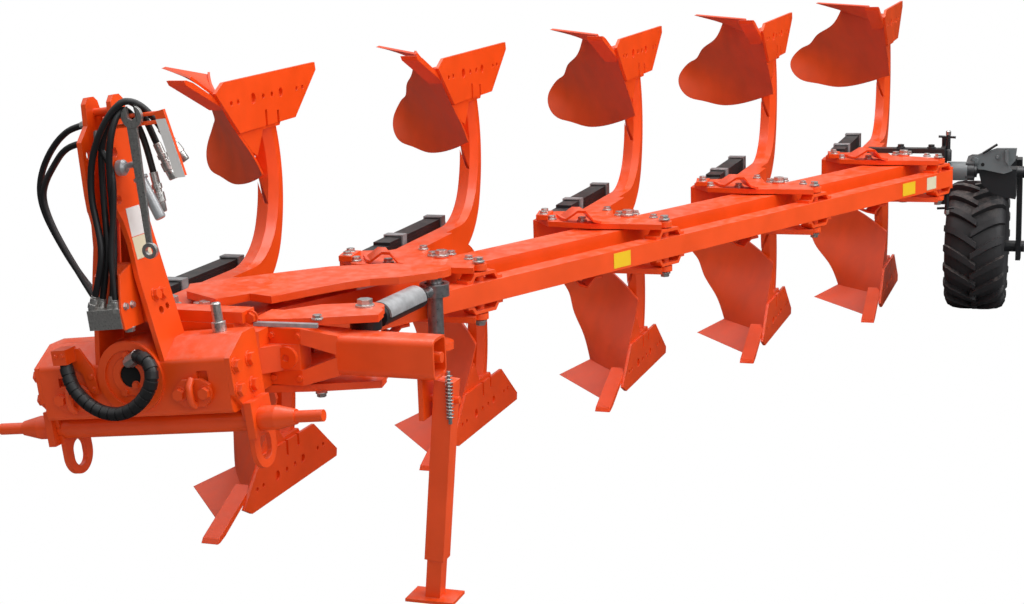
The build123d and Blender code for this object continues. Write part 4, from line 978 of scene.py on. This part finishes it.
def add_bracket_straps():
    """Humped strap and raised end pad above and below each bracket but the first."""
    for index in range(1, 5):
        shell, spots = Shell(), []
        for side in (1, -1):
            rows = []
            for x, y, z in STRAP_LINE:
                rows.append([
                    on_bottom(index, x + a * STRAP_HALF * 0.85, y + a * STRAP_HALF * 0.5, side * (z + lift))
                    for a, lift in ((-1, 0.0), (1, 0.0), (1, STRAP_THICK), (-1, STRAP_THICK))
                ])
            shell.rings(rows)
            pad = [(-0.118, -0.250), (-0.118, -0.300), (-0.233, -0.322), (-0.233, -0.262)]
            shell.prism([on_bottom(index, x, y, side * 0.104) for x, y in pad], (0, 0, side * 0.020))
            for x, y in ((-0.146, -0.276), (-0.206, -0.290)):
                spots.append((on_bottom(index, x, y, side * 0.124), (0, 0, side), 0.030))
        shell.piece(f"bracket straps {index + 1}", f"bottom_{index + 1}", "orange", "orange_paint")
        bolts(f"strap bolts {index + 1}", f"bottom_{index + 1}", spots)


def add_frame_bolts():
    """Painted bolts of headstock, casting and fork, and plated ones of the pivots."""
    spots = []
    for side in (1, -1):
        for x, z in ((0.192, 0.012), (0.105, 0.012), (0.192, -0.062), (0.105, -0.068)):
            spots.append((on_head(x, side * PLATE_FACE, z), head_way(0, side, 0), 0.040))
        for y in (0.165, 0.251):
            spots.append((on_head(HEAD_FACE + 0.014, side * y, -0.056), head_way(1, 0, 0), 0.038))
    for x, z in ((0.159, 0.237), (0.121, 0.233)):
        spots.append((cheek_face(x, z), CHEEK_WAY, 0.034))
    for y, z in ((-0.025, -0.045), (0.015, -0.024), (-0.002, 0.072)):
        spots.append((on_head(HEAD_FACE + 0.004, y, z), head_way(1, 0, 0), 0.022))
    bolts("headstock bolts", "headstock", spots, "orange")
    spots = [(place(-0.018, y, 0.144), (1, 0, 0), 0.036) for y in (0.126, 0.188, 0.286, 0.341)]
    for x, z in ((-0.130, 0.068), (-0.160, 0.068), (-0.130, -0.068), (-0.160, -0.068)):
        spots.append((place(-0.105, 0.36 + (x + 0.16) * 3, z), (1, 0, 0), 0.020))
    bolts("casting bolts", "front_frame", spots, "orange")
    spots = []
    for side in (1, -1):
        way = (0, 0, side)
        spots += [
            (place(-0.329, 0.584, side * 0.122), way, 0.050), (on_beam(0.110, -0.0675, side * 0.141), way, 0.070),
            (on_beam(0.110, 0.1275, side * 0.131), way, 0.046), (place(-0.140, 0.505, side * 0.119), way, 0.030),
        ]
    bolts("pivot bolts", "front_frame", spots)
    spots = [(on_head(0.273, 0.056, 0.228), head_way(0, 1, 0), 0.019), (on_head(0.236, 0.056, 0.226), head_way(0, 1, 0), 0.019),
             (on_head(0.246, 0.040, 0.1595), head_way(0, 0, -1), 0.030)]
    bolts("cover screws", "headstock", spots)


# ------------------------------------------------------------------ headstock and tower fittings
PAD_OUTLINE = [
    (-0.058, -0.026), (-0.058, 0.020), (-0.034, 0.040), (0.030, 0.040), (0.058, 0.022), (0.058, -0.024), (0.034, -0.044),
    (-0.030, -0.044),
]
RING_MIDDLE = (0.0, 0.005)


def on_face(outline, x):
    """Outline in (y, z) laid on the headstock's front at x."""
    return [on_head(x, y, z) for y, z in outline]


def add_headstock_fittings():
    """Bearing cover, clamp pads, hose clamp and a near-black disc painted as the shade inside the crosswise bore."""
    ahead = head_way(1, 0, 0)
    cover = Shell()
    middle = on_head(HEAD_FACE, *RING_MIDDLE)
    cover.turned(middle, ahead, [(-0.004, 0.036), (0.006, 0.036), (0.006, 0.060), (0.002, 0.062), (0.002, 0.098),
                                 (0.008, 0.100), (0.008, 0.110), (-0.004, 0.110)], 64, hollow=True)
    for side in (1, -1):
        shift = side * 0.210
        cover.prism(on_face([(y + shift, z - 0.054) for y, z in PAD_OUTLINE], HEAD_FACE - 0.002), ahead * 0.016)
        cover.tube([on_head(HEAD_FACE + 0.012, shift, -0.095), on_head(HEAD_FACE + 0.030, shift, -0.080),
                    on_head(HEAD_FACE + 0.034, shift, -0.054), on_head(HEAD_FACE + 0.030, shift, -0.028),
                    on_head(HEAD_FACE + 0.012, shift, -0.013)], 0.011, 12)
    cover.piece("bearing cover", "headstock", "orange", "orange_paint")
    # A thin near-black disc inside the cover's ring is painted shade for the depth of the bore.
    painted_bore_shade = Shell().turned(middle, ahead, [(-0.003, 0.0005), (-0.003, 0.0355), (0.001, 0.0355), (0.001, 0.0005)], 48)
    painted_bore_shade.piece("bearing bore painted shade", "headstock", "hollow", "black_paint")
    clamp = Shell()
    clamp.prism(on_face([(-0.225, 0.102), (-0.165, 0.100), (-0.125, 0.035), (-0.118, -0.045), (-0.150, -0.045),
                         (-0.165, 0.020), (-0.225, 0.066)], HEAD_FACE - 0.002), ahead * 0.010)
    clamp.prism(on_face([(-0.226, 0.062), (-0.178, 0.062), (-0.178, 0.108), (-0.226, 0.108)], HEAD_FACE), ahead * 0.060)
    clamp.piece("hose clamp", "headstock", "orange", "orange_paint")
    spots = [(on_head(HEAD_FACE + 0.008, y, z), ahead, 0.016) for y, z in ((-0.135, 0.010), (-0.135, -0.030))]
    spots += [(on_head(HEAD_FACE + 0.060, y, 0.090), ahead, 0.014) for y in (-0.214, -0.190)]
    bolts("hose clamp screws", "headstock", spots, "orange")


def ring_points(middle, first, second, radius, start, end, steps):
    """Points of an arc in the plane of two directions."""
    return [
        middle + first * (radius * cos(start + (end - start) * i / steps)) + second * (radius * sin(start + (end - start) * i / steps))
        for i in range(steps + 1)
    ]


def add_tower_fittings():
    """Spanner and pin handle that hang on the tower, and its blank labels."""
    ahead, across, up = head_way(1, 0, 0), head_way(0, 1, 0), head_way(0, 0, 1)
    jaw_at = on_head(0.215, 0.156, 0.776)
    jaw = ring_points(jaw_at, across, up, 0.034, radians(115), radians(430), 20)
    jaw += [jaw_at + across * 0.016 + up * 0.030, jaw_at + across * 0.013 - up * 0.002, jaw_at - up * 0.010,
            jaw_at - across * 0.013 - up * 0.002, jaw_at - across * 0.013 + up * 0.030]
    spanner = Shell().prism(jaw, ahead * 0.012)
    low = on_head(0.216, 0.141, 0.400)
    top = on_head(0.216, 0.151, 0.750)
    spanner.prism([low - across * 0.009, low + across * 0.009, top + across * 0.016, top - across * 0.016], ahead * 0.009)
    ring = on_head(0.214, 0.140, 0.380)
    spanner.turned(ring, ahead, [(0, 0.012), (0.014, 0.012), (0.014, 0.024), (0, 0.024)], 24, hollow=True)
    spanner.piece("spanner", "headstock", "zinc", "steel")
    handle = Shell()
    knuckle = on_head(0.181, 0.066, 0.628)
    handle.turned(on_head(0.181, 0.045, 0.628), across, [(0, 0.014), (0.010, 0.014), (0.012, 0.024), (0.030, 0.024),
                                                          (0.038, 0.016)], 20)
    bend = [on_head(*p) for p in smooth_line([(0.181, 0.080, 0.628), (0.182, 0.112, 0.640), (0.186, 0.124, 0.616),
                                                (0.188, 0.130, 0.590)])]
    handle.tube([knuckle] + bend, 0.0095, 14)
    grip_top, grip_end = on_head(0.188, 0.129, 0.592), on_head(0.200, 0.181, 0.470)
    run = grip_end - grip_top
    handle.turned(grip_top, run, [(-0.004, 0.022), (0.004, 0.022), (0.0045, 0.0165), (run.length - 0.004, 0.0165),
                                  (run.length, 0.014)], 20)
    handle.piece("pin handle", "headstock", "silver", "silver")
    for name, key, spots in (
        ("label", "label", [(0.176, 0.505), (0.100, 0.505), (0.107, 0.420), (0.188, 0.420)]),
        ("cream label", "notice", [(0.188, 0.418), (0.107, 0.418), (0.108, 0.352), (0.194, 0.352)]),
    ):
        Shell().prism([cheek_face(x, z) for x, z in spots], CHEEK_WAY * 0.0008).piece(name, "headstock", key, "silver")
    web = [(-0.094, 0.090), (0.094, 0.090), (0.0365, 0.440), (-0.0365, 0.440)]
    Shell().prism([on_head(0.074, y, z) for y, z in web], ahead * 0.010).piece(
        "tower_back", "headstock", "orange", "orange_paint"
    )
    back = on_head(0.213, 0.2425, 0.760)
    foot = on_head(0.213, 0.276, 0.586)
    Shell().prism([back - across * 0.015, back + across * 0.017, foot + across * 0.017, foot - across * 0.015],
                  ahead * 0.001).piece("rack label", "headstock", "label", "silver")
    pin = Shell().turned(on_head(0.082, 0.245, 0.096), head_way(0, 0, 1), [(0.0, 0.022), (0.030, 0.022), (0.031, 0.016),
                                                                 (0.086, 0.016), (0.090, 0.012)], 20)
    pin.piece("stop pin", "headstock", "zinc", "steel")


# ------------------------------------------------------------------ wheel gear
CASTING_OUTLINE = [
    (2.158, 0.037), (2.175, 0.067), (2.232, 0.091), (2.295, 0.112), (2.391, 0.113), (2.385, 0.052), (2.360, 0.022),
    (2.371, -0.001), (2.332, -0.016), (2.264, -0.002), (2.191, 0.012),
]
GUSSET_OUTLINE = [
    (2.205, 0.000), (2.390, 0.005), (2.390, -0.147), (2.326, -0.138), (2.267, -0.114), (2.222, -0.069),
]
SPINDLES = [(1, 0.105, 0.190), (-1, 0.105, 0.200)]


def add_wheel_gear():
    """Casting over the wheel, its gusset, and the stop spindles with their cross handles."""
    casting = Shell()
    casting.prism([place(-4.300, y, z) for y, z in CASTING_OUTLINE], (-0.026, 0, 0))
    casting.prism([place(-4.296, y, z) for y, z in ((2.336, 0.105), (2.352, 0.110), (2.356, 0.030), (2.338, 0.050))],
                  (0.022, 0, 0))
    casting.piece("wheel casting", "wheel_arm", "grey", "silver")
    gusset = Shell().prism([place(-4.322, y, z) for y, z in GUSSET_OUTLINE], (-0.120, 0, 0))
    gusset.tube([place(-4.292, 2.228, 0.088), place(-4.292, 2.297, 0.134)], 0.006)
    gusset.turned(place(-4.470, 2.384, -0.030), (0, 1, 0), [(0, 0.030), (0.052, 0.030)], 20)
    gusset.piece("wheel gusset", "wheel_arm", "black", "black_paint")
    spots = [(place(-4.300, 2.192, 0.050), (1, 0, 0), 0.034), (place(-4.2965, 2.300, 0.070), (1, 0, 0), 0.018)]
    bolts("casting bolt", "wheel_arm", spots, "grey")
    # A thin near-black disc on the casting is painted shade for the inside of its bore.
    Shell().turned(place(-4.2995, 2.228, 0.030), (1, 0, 0), [(0, 0.0005), (0, 0.009), (0.001, 0.009), (0.001, 0.0005)],
                   18).piece("casting bore painted shade", "wheel_arm", "hollow", "black_paint")
    sleeve = Shell().turned(place(-4.270, 2.072, 0), (0, 1, 0), [(0, 0.0475), (0.086, 0.0475), (0.086, 0.0462), (0, 0.0462)],
                            36, hollow=True)
    sleeve.piece("wheel sleeve", "wheel_arm", "grey", "silver")
    screws, plated = Shell(), Shell()
    for side, low, high in SPINDLES:
        at = (-4.240, 2.062)
        screws.tube([place(*at, side * low), place(*at, side * high)], 0.011, 12)
        screws.tube([place(at[0], at[1] - 0.048, side * (high - 0.012)), place(at[0], at[1] + 0.036, side * (high - 0.016))],
                    0.0065, 10)
        plated.turned(place(*at, side * (high - 0.004)), (0, 0, side), [(0, 0.013), (0.018, 0.013), (0.022, 0.009)], 12)
        screws.turned(place(*at, side * (low - 0.05)), (0, 0, side), [(0, 0.018), (0.052, 0.018), (0.060, 0.013)], 12)
        screws.tube([place(at[0], at[1], side * (low - 0.02)), place(at[0] + 0.01, at[1] - 0.03, side * (low - 0.02))], 0.012)
    screws.piece("stop spindles", "bottom_5", "black", "black_paint")
    plated.piece("spindle nuts", "bottom_5", "zinc", "steel")
    bar = [(place(-4.182, y, side * 0.129), (0, 0, side), 0.034) for y in (1.835, 1.985) for side in (1, -1)]
    bolts("bar bolts", "bottom_5", bar, "black")


# ------------------------------------------------------------------ reflectors, labels and small frame fittings
LINK_FACE = 0.1275 + 0.040
REFLECTOR_HALF = 0.034


def add_frame_fittings():
    """Reflectors and blank label on the link bar, the stand's spring and the silver bar."""
    outward = on_beam(0, 1, 0) - on_beam(0, 0, 0)
    back = on_beam(1, 0, 0) - on_beam(0, 0, 0)
    for name, key, spot, long in (
        ("reflector 1", "yellow", (-1.786, 1.035), 0.05), ("reflector 2", "yellow", (-3.672, 1.932), 0.055),
        ("link label", "notice", (-3.856, 2.019), 0.042),
    ):
        middle = place(*spot, 0)
        sheet = [middle + back * a + UP * b for a, b in ((-long, -0.030), (long, -0.030), (long, 0.030), (-long, 0.030))]
        Shell().prism(sheet, outward * 0.0012).piece(name, "link_bar", key, "silver")
    spring = [place(-0.216 + 0.011 * cos(t * 0.9), 0.905 + 0.011 * sin(t * 0.9), -0.060 - 0.0016 * t) for t in range(90)]
    wire = Shell().tube(spring, 0.0022, 6)
    wire.turned(place(-0.216, 0.905, -0.048), (0, 0, -1), [(0, 0.006), (0.170, 0.006)], 12)
    wire.piece("stand spring", "stand", "zinc", "steel")
    flat = [place(x, y, 0.1185) for x, y in ((-0.030, 0.345), (-0.010, 0.350), (-0.022, 0.560), (-0.042, 0.555))]
    Shell().prism(flat, (0, 0, 0.012)).piece("silver bar", "front_frame", "silver", "silver")


# ------------------------------------------------------------------ operators
class PloughStep(bpy.types.Operator):
    """Base of the plough's operators."""

    bl_options = {"REGISTER", "UNDO"}
    steps = ()

    def execute(self, context):
        for step in self.steps:
            step()
        return {"FINISHED"}


def add_stage():
    """Camera, white surroundings, floor and lamps."""
    bpy.context.scene.view_settings.view_transform = "Standard"
    add_camera()
    add_world(0.55, 1.30)
    add_floor()
    for name, at, size, watts in LAMPS:
        add_lamp(name, at, size, watts)


class PLOUGH_OT_stage(PloughStep):
    """Sets up the camera, lamps, floor and surroundings"""

    bl_idname = "plough.stage"
    bl_label = "Stage"
    steps = (add_stage,)


class PLOUGH_OT_hoses(PloughStep):
    """Makes the hoses with their couplings and fittings"""

    bl_idname = "plough.hoses"
    bl_label = "Hoses"
    steps = (add_hoses,)


class PLOUGH_OT_finishes(PloughStep):
    """Paints the frame, bodies and other carried-over pieces"""

    bl_idname = "plough.finishes"
    bl_label = "Finishes"
    steps = (finish_nodes,)


class PLOUGH_OT_wheel(PloughStep):
    """Makes the tyre's tread and the wheel's gear"""

    bl_idname = "plough.wheel"
    bl_label = "Depth Wheel"
    steps = (add_tyre, add_wheel_gear)


class PLOUGH_OT_springs(PloughStep):
    """Makes the leaf springs of the bodies"""

    bl_idname = "plough.springs"
    bl_label = "Leaf Springs"
    steps = (add_springs,)


class PLOUGH_OT_bolts(PloughStep):
    """Makes the bolts of brackets, headstock and frame"""

    bl_idname = "plough.bolts"
    bl_label = "Bolts"
    steps = (add_bracket_bolts, add_bracket_straps, add_frame_bolts)


class PLOUGH_OT_fittings(PloughStep):
    """Makes the fittings of the headstock, tower and frame"""

    bl_idname = "plough.fittings"
    bl_label = "Fittings"
    steps = (add_headstock_fittings, add_tower_fittings, add_frame_fittings)


OPERATORS = (
    PLOUGH_OT_stage, PLOUGH_OT_hoses, PLOUGH_OT_finishes, PLOUGH_OT_wheel, PLOUGH_OT_springs, PLOUGH_OT_bolts,
    PLOUGH_OT_fittings,
)


class PLOUGH_PT_panel(bpy.types.Panel):
    """Plough's colours, sizes and steps"""

    bl_idname = "PLOUGH_PT_panel"
    bl_label = "Plough"
    bl_space_type = "VIEW_3D"
    bl_region_type = "UI"
    bl_category = "Plough"

    def draw(self, context):
        for group in (context.scene.plough_paint, context.scene.plough_sizes):
            for name in group.__annotations__:
                self.layout.prop(group, name)
        for operator in OPERATORS:
            self.layout.operator(operator.bl_idname)


CLASSES = (PloughPaint, PloughSizes, *OPERATORS, PLOUGH_PT_panel)


def register():
    """Adds the classes and the scene's properties."""
    for cls in CLASSES:
        bpy.utils.register_class(cls)
    bpy.types.Scene.plough_paint = bpy.props.PointerProperty(type=PloughPaint)
    bpy.types.Scene.plough_sizes = bpy.props.PointerProperty(type=PloughSizes)


def unregister():
    """Takes them away again."""
    del bpy.types.Scene.plough_sizes
    del bpy.types.Scene.plough_paint
    for cls in reversed(CLASSES):
        bpy.utils.unregister_class(cls)


def main():
    """Runs every step in order."""
    register()
    for operator in OPERATORS:
        group, name = operator.bl_idname.split(".")
        getattr(getattr(bpy.ops, group), name)()


if __name__ == "__main__":
    main()
